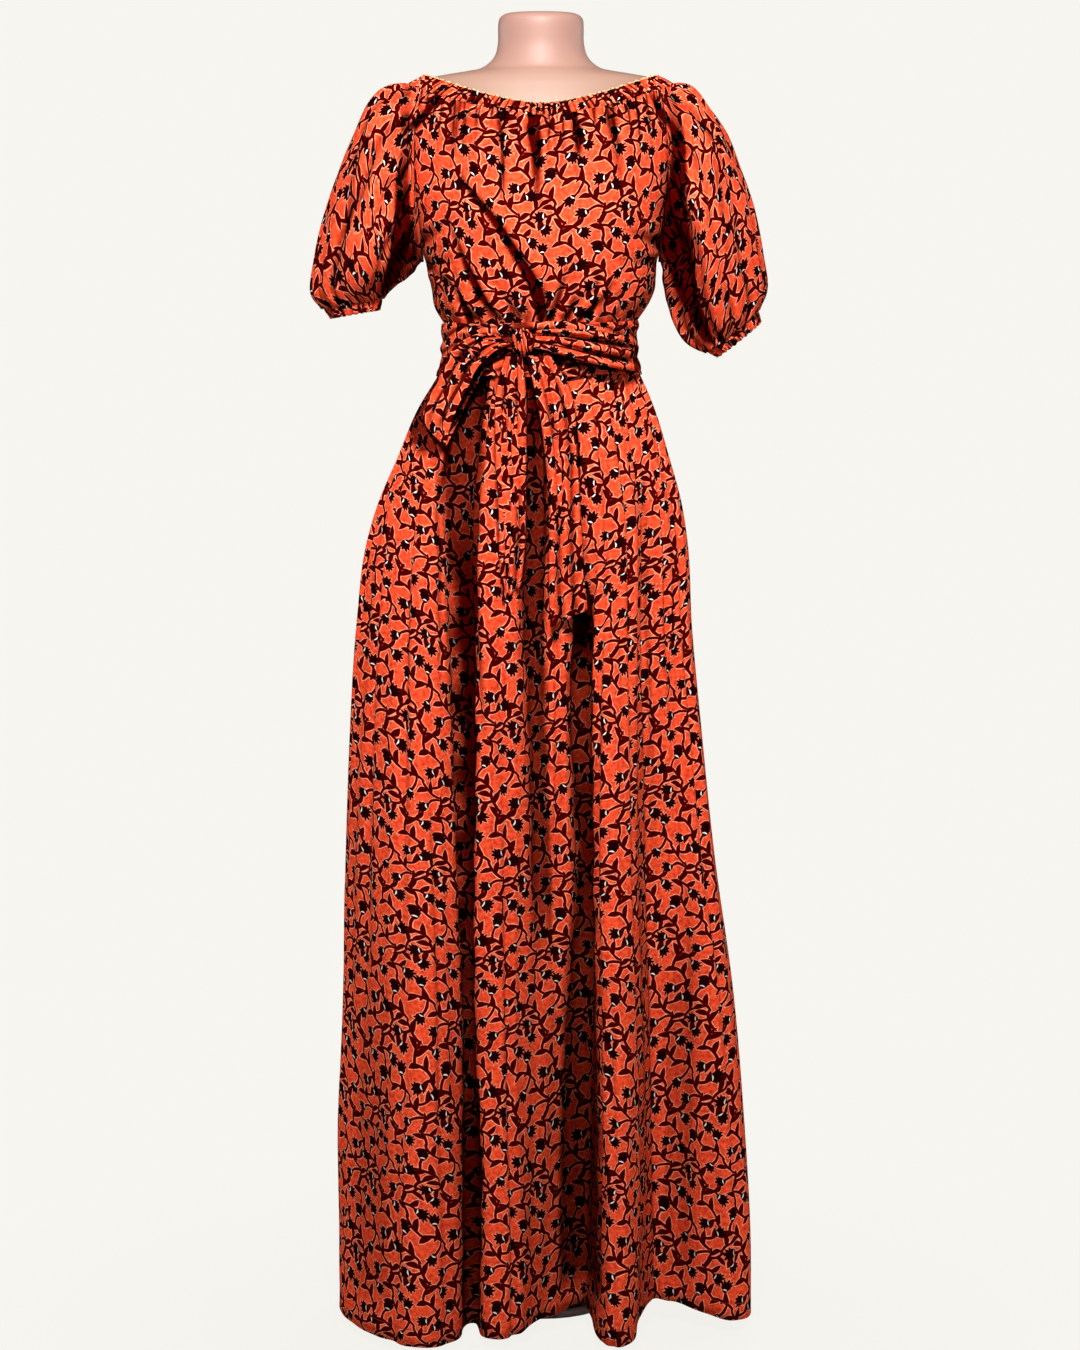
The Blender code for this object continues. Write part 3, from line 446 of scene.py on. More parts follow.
def smooth(table, index, at):
    # the value of one column at a key, eased between the rows
    keys, values = (np.array([row[i] for row in table], float) for i in (0, index))
    if keys[0] > keys[-1]:
        keys, values = keys[::-1], values[::-1]
    slopes = np.gradient(values, keys)
    at = np.clip(at, keys[0], keys[-1])
    low = np.clip(np.searchsorted(keys, at, side="right") - 1, 0, len(keys) - 2)
    span = keys[low + 1] - keys[low]
    t = (at - keys[low]) / span
    return (
        values[low] * (1 + 2 * t) * (1 - t) ** 2 + slopes[low] * span * t * (1 - t) ** 2
        + values[low + 1] * t * t * (3 - 2 * t) + slopes[low + 1] * span * t * t * (t - 1))


def halfWidths(table, z, side):
    # the right's and the left's half widths, blended across the middle third
    toLeft = 0.5 + 0.5 * np.clip(side * 3, -1, 1)
    return smooth(table, 1, z) * (1 - toLeft) + smooth(table, 2, z) * toLeft


folding = {
    # waves of the gathers: height, count, share of the seed
    "gatherWander": [(0.55, 3, 1.0), (0.40, 7, 2.3), (0.25, 13, -1.0)], "wanderPull": 1.6,
    "gatherSwell": [(0.20, 5, 1.7), (0.16, 11, 1.0)], "swellMean": 0.72,
    "neck": [(0.0018, 132, 1.1), (0.0011, 41, 0.4)],  # height, count, seed
    # ridges beside a hollow, as a share of its depth, and metres over which each end fades out
    "creaseRidge": 0.38,
    "longRidge": 0.34, "longEnds": (0.05, 0.12), "longSway": 0.006,
    "shadedRidge": 0.30, "shadedEnds": (0.012, 0.03), "shadedSway": 0.0010, "shadedEdge": (1.2, 0.5),
}


def waves(turn, seed, rows, mean=0.0):
    return sum((height * np.sin(count * turn + share * seed) for height, count, share in rows), mean)


def gathers(turn, count, seed):
    # uneven gathers: their spacing and height wander, but the count stays
    wander = waves(turn, seed, folding["gatherWander"])
    height = waves(turn, seed, folding["gatherSwell"], folding["swellMean"])
    return height * np.cos(count * turn + folding["wanderPull"] * wander)


def trough(off, ridge):
    # a soft hollow with a low ridge on each side, off in half widths from its middle
    return ridge * bell(off - 2.0) - bell(off)


def creaseLines(lines, x, z):
    out = np.zeros_like(x)
    for x0, z0, x1, z1, width, depth0, depth1 in lines:
        dx, dz = x1 - x0, z1 - z0
        way = np.clip(((x - x0) * dx + (z - z0) * dz) / (dx * dx + dz * dz), 0, 1)
        off = np.hypot(x - x0 - way * dx, z - z0 - way * dz) / width
        out += (depth0 + (depth1 - depth0) * way) * trough(off, folding["creaseRidge"])
    return out


def longFolds(folds, u, z):
    # folds that run down a panel and wander a little
    out = np.zeros_like(u)
    topFade, lowFade = folding["longEnds"]
    for uTop, uLow, zTop, zLow, widthTop, widthLow, deepTop, deepMid, deepLow in folds:
        length = zTop - zLow
        way = (zTop - z) / length
        inside = np.clip(way, 0, 1)
        width = widthTop + (widthLow - widthTop) * inside
        ends = np.clip(1 + way * length / topFade, 0, 1) * np.clip(1 + (1 - way) * length / lowFade, 0, 1)
        depth = (deepTop * (1 - inside) * (1 - 2 * inside) + 4 * deepMid * inside * (1 - inside)
                 + deepLow * inside * (2 * inside - 1))
        sway = folding["longSway"] * np.sin(9 * inside + 40 * uTop)
        off = np.abs(u - uTop - (uLow - uTop) * inside - sway) / width
        out += eased(ends) * depth * trough(off, folding["longRidge"])
    return out


def shadedFolds(folds, x, z):
    # folds placed one by one, which also carry painted shade on the cloth
    shade, groove = np.zeros_like(x), np.zeros_like(x)
    (topFade, lowFade), (edge, soft) = folding["shadedEnds"], folding["shadedEdge"]
    for fold in folds:
        sway = folding["shadedSway"] * np.sin(75 * z + 300 * fold[0][1])
        off = np.abs(x - smooth(fold, 1, z) - sway) / smooth(fold, 2, z)
        ends = falling(z, fold[0][0] + topFade, topFade) * rising(z, fold[-1][0] - lowFade, lowFade)
        dark = np.clip(smooth(fold, 3, z), 0, 1)
        shade = np.maximum(shade, dark * ends * eased(falling(off, edge, soft)))
        groove += ends * smooth(fold, 4, z) * trough(off, folding["shadedRidge"])
    return shade, groove


def neckGathers(turn):
    # the same gathers run over the casing and on into the cloth below it
    return sum(height * gathers(turn, count, seed) for height, count, seed in folding["neck"])


def raised(points, height, outward, closed=False):
    # moves the cloth along its own normal, outward where height is positive
    wide = np.concatenate([points[:, -2:-1], points, points[:, 1:2]], axis=1) if closed else points
    across = np.gradient(wide, axis=1)
    across = across[:, 1:-1] if closed else across
    normal = np.cross(across, np.gradient(points, axis=0))
    normal /= np.maximum(np.linalg.norm(normal, axis=-1, keepdims=True), 1e-12)
    sign = np.sign((normal * outward).sum(axis=-1).mean())
    return points + normal * (sign * height)[..., None]


def hollowness(outward, reach, full):
    # how far the cloth lies behind the ridges within reach columns of it, from 0 to 1
    def near(values):
        wide = np.pad(values, ((0, 0), (reach, reach)), mode="edge")
        return [wide[:, step:step + values.shape[1]] for step in range(2 * reach + 1)]

    ridge = np.mean(near(np.max(near(outward), axis=0)), axis=0)
    return np.clip((ridge - outward) / full, 0, 1) ** 1.3


def clothMeasure(points, centre, evenRows=8):
    # metres of cloth: sideways from the centre column, and down each column from the first row
    sideways = np.linalg.norm(np.diff(points, axis=1), axis=-1)
    sideways = np.concatenate([np.zeros((len(points), 1)), np.cumsum(sideways, axis=1)], axis=1)
    sideways -= sideways[:, centre:centre + 1]
    # evened out over the rows near each one, so a fold that starts below doesn't smear the print
    padded = np.pad(sideways, ((evenRows, evenRows), (0, 0)), mode="edge")
    sideways = np.mean([padded[step:step + len(points)] for step in range(2 * evenRows + 1)], axis=0)
    down = np.linalg.norm(np.diff(points, axis=0), axis=-1)
    down = np.concatenate([np.zeros((1, points.shape[1])), np.cumsum(down, axis=0)])
    down = 0.5 * down + 0.5 * down.mean(axis=1, keepdims=True)
    return sideways, -down


def startPiece(name):
    # the primitive just added, and where its points lie
    piece = bpy.context.object
    piece.name = piece.data.name = name
    flat = np.empty(len(piece.data.vertices) * 3, np.float32)
    piece.data.vertices.foreach_get("co", flat)
    return piece, flat.reshape(-1, 3)


def shapeMesh(mesh, places, sideways, down, marks):
    # moves each point to its place, and lays the cloth's measure and the marks on it
    mesh.vertices.foreach_set("co", (places + np.array([0, dressY, 0])).astype(np.float32).ravel())
    corner = np.empty(len(mesh.loops), np.int32)
    mesh.loops.foreach_get("vertex_index", corner)
    mesh.uv_layers[0].name = "UVMap"
    cloth = np.stack([sideways, down], axis=-1)[corner]
    mesh.uv_layers[0].uv.foreach_set("vector", cloth.astype(np.float32).ravel())
    for mark, values in marks.items():
        mesh.attributes.new(mark, "FLOAT", "POINT").data.foreach_set("value", values.astype(np.float32))
    mesh.update()


def gridPiece(name, points, material, printAt=(0.0, 0.0), centre=None,
              closed=False, wall=0.0012, turned=False, marks=()):
    # a grid primitive shaped point by point, sewn to itself where it is a tube, then given its wall
    rows, columns = points.shape[:2]
    bpy.ops.object.select_all(action="DESELECT")
    bpy.ops.mesh.primitive_grid_add(x_subdivisions=columns - 1, y_subdivisions=rows - 1, size=1)
    piece, flat = startPiece(name)
    col = np.rint((flat[:, 0] + 0.5) * (columns - 1)).astype(int)
    row = np.rint((0.5 - flat[:, 1]) * (rows - 1)).astype(int)
    sideways, down = clothMeasure(points, columns // 2 if centre is None else centre)
    shapeMesh(piece.data, points[row, col], sideways[row, col] + printAt[0], down[row, col] + printAt[1],
              {mark: values[row, col] for mark, values in dict(marks).items()})
    bpy.ops.object.mode_set(mode="EDIT")
    bpy.ops.mesh.select_all(action="SELECT")
    if closed:
        bpy.ops.mesh.remove_doubles(threshold=0.00002)
    if turned:
        bpy.ops.mesh.flip_normals()
    bpy.ops.object.mode_set(mode="OBJECT")
    if wall:
        bpy.ops.object.modifier_add(type="SOLIDIFY")
        solid = piece.modifiers[-1]
        solid.thickness = wall
        solid.offset = 0.0
        bpy.ops.object.modifier_apply(modifier=solid.name)
    bpy.ops.object.shade_smooth()
    piece.data.materials.clear()
    piece.data.materials.append(material)
    return piece


def standsFor(piece, node):
    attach(piece, "root")
    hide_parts(node)


def dressPiece(piece, node):
    standsFor(piece, node)


# dress form
formShape = {
    "columns": 96, "rings": 150,
    "clearFrom": 0.82, "clearTo": 1.478,  # the cloth is kept off the skin between these heights
    "lidSteps": (0.04, 0.25, 0.6, 1.0),
    "sections": metres([  # z, half width, depth in front, depth behind
        (1549, 30, 27, 33), (1548, 40, 37, 43), (1544, 47, 44, 50), (1536, 49.8, 46.8, 52.8),
        (1513, 50.3, 47, 52), (1497, 55.5, 50, 53), (1486, 69, 54, 54.5), (1482, 86, 58, 56),
        (1478.5, 108, 61, 57), (1474, 129, 64, 59), (1464, 142, 69, 61), (1440, 149, 78, 67),
        (1390, 148, 91, 78), (1320, 138, 105, 84), (1260, 125, 99, 83), (1210, 108, 86, 79),
        (1170, 101.1, 80.5, 78.5), (1120, 105, 81, 81), (1050, 129, 93, 101), (970, 147, 99, 109),
        (890, 140, 95, 103), (830, 125, 88, 95), (824, 119, 82, 89),
    ]),
}


def clearOfForm(points, gap=0.0016):
    # pushes any point that a crease took into the form back out to its skin
    sections, z = formShape["sections"], points[..., 2]
    half = smooth(sections, 1, z) + gap
    deep = np.where(points[..., 1] < 0, smooth(sections, 2, z), smooth(sections, 3, z)) + gap
    reach = np.hypot(points[..., 0] / half, points[..., 1] / deep)
    inside = (reach < 1) & (z > formShape["clearFrom"]) & (z < formShape["clearTo"])
    scale = np.where(inside, 1 / np.maximum(reach, 0.3), 1.0)
    return points * np.stack([scale, scale, np.ones_like(scale)], axis=-1)


# bodice
bodice = {
    "waistZ": 1.165, "seamGap": 0.0006, "underarmZ": 1.262,
    "neckSideZ": 1.4665, "neckFrontZ": 1.428, "neckBackZ": 1.442,
    "sections": metres([  # z, half width at the right, at the left, depth in front, behind
        (1165, 106, 103, 84, 82), (1183, 108.5, 105.2, 86, 83), (1196, 116.5, 114, 93.5, 87.5),
        (1209, 124, 123, 101, 92.5), (1229, 127.5, 132.5, 107.5, 95.5), (1252, 132.5, 134, 112, 96.5),
        (1276, 138, 137.5, 114.5, 96.5), (1310, 148, 147, 115, 96), (1350, 157, 156, 112, 94),
        (1400, 161.5, 161, 104, 89), (1435, 159, 159, 96.5, 83), (1468, 153, 153, 90, 78),
    ]),
    "raglan": metres([  # z, angle of the raglan edge from straight ahead, from straight behind
        (1165, 90, 90), (1240, 90, 90), (1262, 89, 89), (1282, 80, 79), (1310, 73, 72), (1350, 68, 67),
        (1400, 64.5, 63.5), (1470, 62, 61),
    ], 1, 2),
    "columns": {"front": 360, "back": 280}, "rows": 96,
    "neckGathers": 21, "neckHeight": 0.0026,
    "waistGathers": {"front": 17, "back": 15}, "waistHeight": 0.0017,
    # how far the gathers reach from a seam: metres, their wander, its count
    "edgeReach": (0.014, 0.004, 23), "neckReach": (0.036, 0.018, 9), "waistReach": (0.062, 0.016, 7),
    "rumple": 0.0006, "armShade": 0.45, "armReach": 0.05, "armFrom": (1.26, 0.03),
    "creaseShade": 0.0070, "gatherShade": 0.0016,
    # creases: x, z, end x, end z, width, depth at start, at end
    "frontCreases": metres([
        (-18, 1412, -24, 1368, 5, 3.4, 0.6), (16, 1412, 21, 1352, 5.2, 3.6, 0.8),
        (44, 1416, 56, 1362, 5, 3.4, 0.6), (79, 1422, 90, 1350, 6, 3.8, 1),
        (-48, 1416, -56, 1364, 5, 3.4, 0.6), (-80, 1424, -86, 1356, 6, 3.8, 0.8),
        (2, 1195, 6, 1268, 5, 4.8, 0.8), (12, 1195, 38, 1256, 5.2, 4.6, 0.8),
        (26, 1196, 76, 1246, 5.6, 4.4, 1), (48, 1198, 104, 1232, 5.2, 3.6, 0.8),
        (-26, 1195, -56, 1244, 5.2, 4.2, 0.8), (-48, 1196, -88, 1232, 5.2, 3.8, 0.8),
        (-74, 1196, -105, 1224, 5, 3.4, 0.6), (136, 1282, 96, 1298, 6, 4.8, 0.6),
        (133, 1260, 90, 1262, 5.6, 4, 0.6), (-136, 1286, -102, 1312, 6, 4.6, 0.6),
        (-133, 1256, -98, 1264, 5.6, 4, 0.6),
    ]),
    "backCreases": metres([
        (4, 1430, 8, 1340, 6, 4, 0.8), (-52, 1434, -62, 1352, 6, 3.6, 0.6),
        (58, 1434, 70, 1364, 5.6, 3.6, 0.6), (-10, 1195, -24, 1270, 5.6, 4.4, 0.8),
        (30, 1196, 62, 1252, 5.6, 4, 0.6), (-62, 1196, -96, 1242, 5.2, 3.8, 0.6),
        (133, 1264, 84, 1286, 6, 4, 0.6), (-133, 1262, -86, 1274, 6, 4, 0.6),
    ]),
    # each shaded fold: z, x, half width, painted shade, depth
    "frontShaded": metres([
        [(1449, -120.7, 4, 0.5, 3), (1435, -131.1, 5.7, 0.95, 4), (1417, -147.2, 6.9, 1, 4),
         (1399, -163.3, 4.6, 0.4, 2)],
        [(1453, 125.3, 3.4, 0.5, 2), (1430, 139.1, 5.2, 0.9, 4), (1408, 155.2, 5.7, 1, 4),
         (1392, 157.5, 5.7, 0.9, 2)],
        [(1356, -90.9, 3.4, 0.28, 3), (1331, -72.5, 5.7, 0.65, 5), (1286, -39.1, 6.9, 0.84, 6),
         (1241, -11.5, 8, 0.93, 7), (1207, 0, 6.9, 0.84, 6), (1187, 0, 4.6, 0.47, 3)],
        [(1303, -107, 3.4, 0.19, 2), (1263, -88.6, 4.6, 0.56, 4), (1218, -67.8, 5.7, 0.6, 5),
         (1194, -56.3, 4.6, 0.28, 3)],
        [(1446, -9.2, 8, 0.65, 4), (1410, -6.9, 8, 0.6, 4), (1365, -4.6, 5.7, 0.47, 4),
         (1325, -3.4, 4.6, 0.09, 2)],
        [(1438, -47.1, 3.4, 0.37, 3), (1353, -43.7, 3.4, 0.37, 3), (1325, -42.5, 3.4, 0, 1)],
        [(1444, 35.7, 4.6, 0.47, 3), (1387, 41.4, 4.6, 0.33, 3), (1348, 44.9, 3.4, 0, 1)],
        [(1444, 77, 4.6, 0.47, 3), (1399, 86.2, 4.6, 0.33, 3), (1353, 93.1, 3.4, 0, 1)],
        [(1446, -90.9, 4.6, 0.47, 3), (1410, -97.8, 4.6, 0.42, 3), (1370, -104.6, 3.4, 0, 1)],
        [(1269, 35.7, 3.4, 0, 1), (1230, 21.9, 4.6, 0.37, 3), (1190, 9.2, 4.6, 0.56, 4)],
        [(1254, 95.4, 4.6, 0.09, 1), (1218, 67.8, 5.7, 0.37, 3), (1187, 37.9, 4.6, 0.56, 4)],
        [(1261, -141.4, 6.9, 0, 2), (1235, -104.6, 4.6, 0.28, 3), (1196, -81.7, 4.6, 0.37, 3)],
    ], 3),
    "backShaded": metres([
        [(1446, 5.7, 6.9, 0.56, 4), (1387, 8, 6.9, 0.56, 4), (1320, 12.6, 4.6, 0.19, 2)],
        [(1444, -47.1, 4.6, 0.47, 3), (1376, -54.1, 4.6, 0.37, 3), (1331, -58.7, 3.4, 0, 1)],
        [(1444, 56.3, 4.6, 0.47, 3), (1376, 65.5, 4.6, 0.37, 3), (1331, 72.5, 3.4, 0, 1)],
        [(1275, -24.1, 4.6, 0.19, 2), (1218, -12.6, 5.7, 0.56, 4), (1187, -8, 4.6, 0.47, 4)],
        [(1263, 44.9, 4.6, 0.19, 2), (1218, 31.1, 5.7, 0.56, 4), (1187, 21.9, 4.6, 0.47, 4)],
    ], 3),
}


def bodiceSurface(angle, z, side, ripple):
    out = 1.0 if side == "back" else -1.0
    width = halfWidths(bodice["sections"], z, np.sin(angle))
    depth = smooth(bodice["sections"], 4 if side == "back" else 3, z)
    return np.stack([(width + ripple) * np.sin(angle), out * (depth + ripple) * np.cos(angle), z], axis=-1)


def neckEdgeZ(angle, side):
    middle = bodice["neckBackZ"] if side == "back" else bodice["neckFrontZ"]
    return middle + (bodice["neckSideZ"] - middle) * np.sin(np.abs(angle)) ** 1.6


def bodicePanel(side):
    across, up = spread(-1, 1, bodice["columns"][side], bodice["rows"], 0.9)
    edgeIndex, out, seed = (2, 1.0, 2.4) if side == "back" else (1, -1.0, 1.0)
    topZ = neckEdgeZ(math.radians(bodice["raglan"][-1][edgeIndex]) * across, side)
    lowZ = bodice["waistZ"] + bodice["seamGap"]
    z = lowZ + (topZ - lowZ) * up
    edge = np.radians(np.minimum(smooth(bodice["raglan"], edgeIndex, z), 90))
    inside = np.cos(np.pi / 2 * across) ** 0.5

    def near(reach, away, start=0.0):
        mean, wander, count = bodice[reach]
        return bell(away / (mean + wander * np.sin(count * across + start)))

    # fine gathers at the casing run together into fewer, deeper ones below it
    atWaist = gathers(np.pi * across, bodice["waistGathers"][side], seed + 1)
    atNeck = gathers(np.pi * across, bodice["neckGathers"], seed + 0.7)
    ripple = near("edgeReach", topZ - z)
    ripple *= neckGathers(across * edge if side == "front" else np.pi - across * edge)
    ripple += bodice["neckHeight"] * near("neckReach", topZ - z, seed) * atNeck
    ripple += bodice["waistHeight"] * near("waistReach", z - bodice["waistZ"]) * atWaist
    points = bodiceSurface(across * edge, z, side, ripple * inside)
    x = points[..., 0]
    lines = creaseLines(bodice[side + "Creases"], x, z)
    lines += bodice["rumple"] * np.sin(95 * x + 60 * z) * np.sin(70 * z + 3)
    shade, groove = shadedFolds(bodice[side + "Shaded"], x, z)
    lines += groove
    # painted shade: darker in the creases, the gather troughs, the shaded folds and beside the armhole
    byArm = bell((1 - np.abs(across)) / bodice["armReach"]) * rising(z, *bodice["armFrom"])
    paintedShade = np.clip(-lines / bodice["creaseShade"], 0, 0.5) + shade
    paintedShade += np.clip(-ripple / bodice["gatherShade"], 0, 0.9)
    paintedShade += bodice["armShade"] * byArm
    points = clearOfForm(raised(points, lines * inside ** 0.5, np.array([0, out, 0]))[::-1])
    return points, {"paintedShade": np.clip(paintedShade, 0, 1)[::-1]}


for side, flatSize, cutArea, printAt in (
        ("front", (0.44, 0.31), 0.125, (0.010, 0.045)), ("back", (0.42, 0.32), 0.120, (0.430, 0.310))):
    points, marks = bodicePanel(side)
    panel = gridPiece("bodice" + side.title() + "Panel", points, waxPrintCotton, printAt,
                      turned=side == "back", marks=marks)
    dressPiece(panel, "bodice_" + side)
print("bodice sewn")

# sleeves and cuffs
sleeves = {
    "columns": 200, "rows": 92, "seamShare": 0.16, "cornerTurn": 0.36,
    "lap": 0.0015, "standOff": 0.0022, "lapFade": 0.05, "meanRadius": 0.14, "cornerGap": 0.0012,
    "gathers": 14, "gatherHeight": 0.0023, "crowding": 0.06, "shoulderReach": 0.17,
    "rumple": 0.0007, "foldShade": 0.0065, "underShade": 0.8,
    # shares of the way, or of a turn: from or to, and over how much
    "fullFrom": (0.55, 0.45), "cuffFrom": (0.86, 0.14), "foldsFrom": (0, 0.08), "foldsTo": (1, 0.04),
    "underTurn": (0.10, 0.08), "underTo": (0.7, 0.3),
    "seeds": {"right": 0.6, "left": 3.1},
    # finer gathers: count, height, share they reach
    "cuffGathers": (38, 0.0014), "shoulderGathers": [(26, 0.0024, 0.26), (64, 0.0013, 0.09)],
    # share of the way to the cuff, underarm x and z, shoulder x and z, depth in front, behind
    "right": metres([
        (0, 145, 1264, 147, 1468.1, 56, 50), (0.12, 147, 1260, 178, 1465.5, 68, 62),
        (0.25, 150, 1256, 202, 1444, 82, 75), (0.38, 154, 1252, 218, 1408, 91, 83),
        (0.51, 159, 1247, 236, 1366, 90, 83), (0.64, 164, 1242, 252, 1316, 86, 80),
        (0.76, 171, 1236, 264, 1268, 76, 71), (0.88, 179, 1229, 269, 1228, 60, 56),
        (1, 186, 1219, 256, 1207, 43, 41),
    ], 0),
    "left": metres([
        (0, 145, 1264, 147, 1468.1, 56, 50), (0.12, 146.5, 1256, 175, 1464, 68, 62),
        (0.25, 148, 1247, 196.5, 1439, 82, 75), (0.38, 149.5, 1237, 215, 1412, 91, 83),
        (0.51, 151.5, 1226, 232, 1370, 90, 83), (0.64, 154.5, 1213, 247, 1326, 86, 80),
        (0.76, 159, 1196, 259, 1274, 76, 71), (0.88, 173, 1172, 264, 1232, 60, 56),
        (1, 195, 1156.5, 255, 1205, 43, 41),
    ], 0),
    # each shaded fold: z, x, half width, painted shade, depth; a fold of depth 0 is painted shade only
    "rightShaded": metres([
        [(1449, -122.3, 4.1, 0.5, 3), (1435, -132.8, 5.8, 0.95, 4), (1417, -149.1, 7, 1, 4),
         (1399, -165.4, 4.7, 0.4, 2)],
        [(1460, -154.9, 5.8, 0.55, 0), (1412, -156.1, 5.8, 0.6, 0), (1366, -158.4, 7, 0.8, 0),
         (1332, -159.6, 9.3, 1, 0), (1298, -160.8, 10.5, 1, 0), (1264, -166.6, 9.3, 0.9, 0),
         (1229, -181.7, 7, 0.6, 0), (1204, -196.9, 5.8, 0.3, 0)],
        [(1446, -196.9, 3.5, 0, 0), (1389, -208.5, 3.5, 0.5, 0), (1309, -220.2, 3.5, 0.4, 0),
         (1241, -229.5, 3.5, 0.3, 0)],
    ], 3),
    "leftShaded": metres([
        [(1453, 127, 3.5, 0.5, 2), (1430, 141, 5.2, 0.9, 4), (1408, 157.3, 5.8, 1, 4),
         (1392, 159.6, 5.8, 0.9, 2)],
        [(1448, 148, 5.8, 0.5, 0), (1412, 157.3, 8.2, 0.9, 0), (1366, 157.3, 10.5, 1, 0),
         (1332, 152.6, 16.3, 1, 0), (1286, 152.6, 19.8, 1, 0), (1252, 161.9, 16.3, 1, 0),
         (1218, 173.6, 10.5, 0.9, 0), (1184, 187.6, 8.2, 0.6, 0), (1159, 202.7, 5.8, 0.3, 0)],
        [(1435, 192.2, 3.5, 0, 0), (1378, 199.2, 3.5, 0.45, 0), (1286, 210.9, 3.5, 0.4, 0),
         (1207, 220.2, 3.5, 0.2, 0)],
    ], 3),
    # soft folds: turn above, below, share above, below, half width above, below, depth above, middle, below
    "rightFolds": metres([
        (0.09, 0.08, 0.04, 0.86, 0.045, 0.05, 9, 15, 4),
        (0.19, 0.15, 0.06, 0.8, 0.016, 0.016, 4.2, 5.8, 3),
        (0.25, 0.22, 0.04, 0.6, 0.013, 0.013, 3.6, 3.6, 0.8),
        (0.33, 0.31, 0.03, 0.86, 0.016, 0.016, 3.6, 4.6, 2.6),
        (0.42, 0.4, 0.03, 0.5, 0.013, 0.013, 3.4, 3, 0.6),
        (0.36, 0.3, 0.45, 1, 0.014, 0.014, 0.8, 3.6, 4.4),
        (0.47, 0.44, 0.5, 1, 0.015, 0.015, 0.8, 3.6, 4),
        (0.58, 0.6, 0.03, 0.7, 0.016, 0.016, 3.6, 4.4, 1),
        (0.72, 0.7, 0.05, 0.9, 0.018, 0.018, 3.6, 4.8, 2),
        (0.85, 0.84, 0.1, 0.8, 0.016, 0.016, 3, 4, 1), (0.08, 0.06, 0.12, 0.92, 0.014, 0.014, 3, 4, 2),
    ], 0, 1, 2, 3, 4, 5),
    "leftFolds": metres([
        (0.12, 0.11, 0.05, 0.96, 0.055, 0.06, 11, 19, 6),
        (0.21, 0.17, 0.08, 0.94, 0.016, 0.016, 4, 5.6, 3.8),
        (0.22, 0.2, 0.04, 0.68, 0.014, 0.014, 3.8, 4.4, 1),
        (0.3, 0.25, 0.03, 0.92, 0.015, 0.015, 3.6, 5, 3.4),
        (0.39, 0.37, 0.03, 0.55, 0.013, 0.013, 3.4, 3.2, 0.6),
        (0.34, 0.33, 0.55, 1, 0.014, 0.014, 0.8, 3.4, 4.6),
        (0.45, 0.43, 0.4, 1, 0.015, 0.015, 0.8, 3.6, 4.2),
        (0.56, 0.58, 0.03, 0.64, 0.016, 0.016, 3.6, 4.2, 1),
        (0.69, 0.68, 0.05, 0.88, 0.018, 0.018, 3.6, 4.8, 2),
        (0.83, 0.8, 0.1, 0.84, 0.016, 0.016, 3, 4, 1.2),
        (0.06, 0.04, 0.14, 0.9, 0.014, 0.014, 3, 4.2, 2),
    ], 0, 1, 2, 3, 4, 5),
}
cuffs = {
    "columns": 480, "fineGathers": 58, "fineShare": 0.75, "fineFrom": 0.006,
    "depth": 0.0135, "edgeWave": 0.0008, "shadeDepth": 0.0030,
    "rows": metres([  # distance on from the sleeve's end, growth, gather height
        (-1.5, -1.8, 2), (2.5, -3, 1.8), (6, -4.8, 1.7), (8.5, -6.2, 1.8), (10.5, -7.4, 2.1),
        (12.2, -8.2, 2.4),
    ]),
}


def armholeRing(turns):
    # the armhole's edge on the bodice, lapped a little under the sleeve
    front, back = math.radians(bodice["raglan"][-1][1]), math.radians(bodice["raglan"][-1][2])
    corner = sleeves["cornerTurn"]
    ring = np.zeros((len(turns), 3))
    for i, turn in enumerate(turns % 1.0):
        side, edgeIndex, top = ("front", 1, front) if turn < 0.5 else ("back", 2, back)
        topZ = float(neckEdgeZ(np.array(top), side))
        up = min(turn / corner, 1.0) if side == "front" else min((1 - turn) / corner, 1.0)
        z = np.array(bodice["underarmZ"] + (topZ - bodice["underarmZ"]) * up)
        angle = np.radians(np.minimum(smooth(bodice["raglan"], edgeIndex, z), 90))
        lapped = min((1 - up) / sleeves["lapFade"], 1.0)
        if corner < turn <= 1 - corner:
            angle = np.array(math.pi / 2 + (top - math.pi / 2) * abs(turn - 0.5) / (0.5 - corner))
            z = neckEdgeZ(angle, side)
        ring[i] = bodiceSurface(
            angle - sleeves["lap"] * lapped / sleeves["meanRadius"], z, side, sleeves["standOff"] * lapped)
        ring[i][0] += sleeves["cornerGap"] * (1 - lapped)
    return ring


def sleeveRing(table, turns, share, growth):
    inner, outer = (np.stack([smooth(table, at, share), 0 * share, smooth(table, at + 1, share)], axis=-1)
                    for at in (1, 3))
    middle, half = (inner + outer) / 2, (outer - inner) / 2
    length = np.linalg.norm(half, axis=-1)
    turn = 2 * np.pi * turns
    depth = np.where(np.sin(turn) > 0, smooth(table, 5, share), smooth(table, 6, share))
    points = middle - half * ((length + growth) / length * np.cos(turn))[..., None]
    points[..., 1] -= (depth + growth) * np.sin(turn)
    return points, half


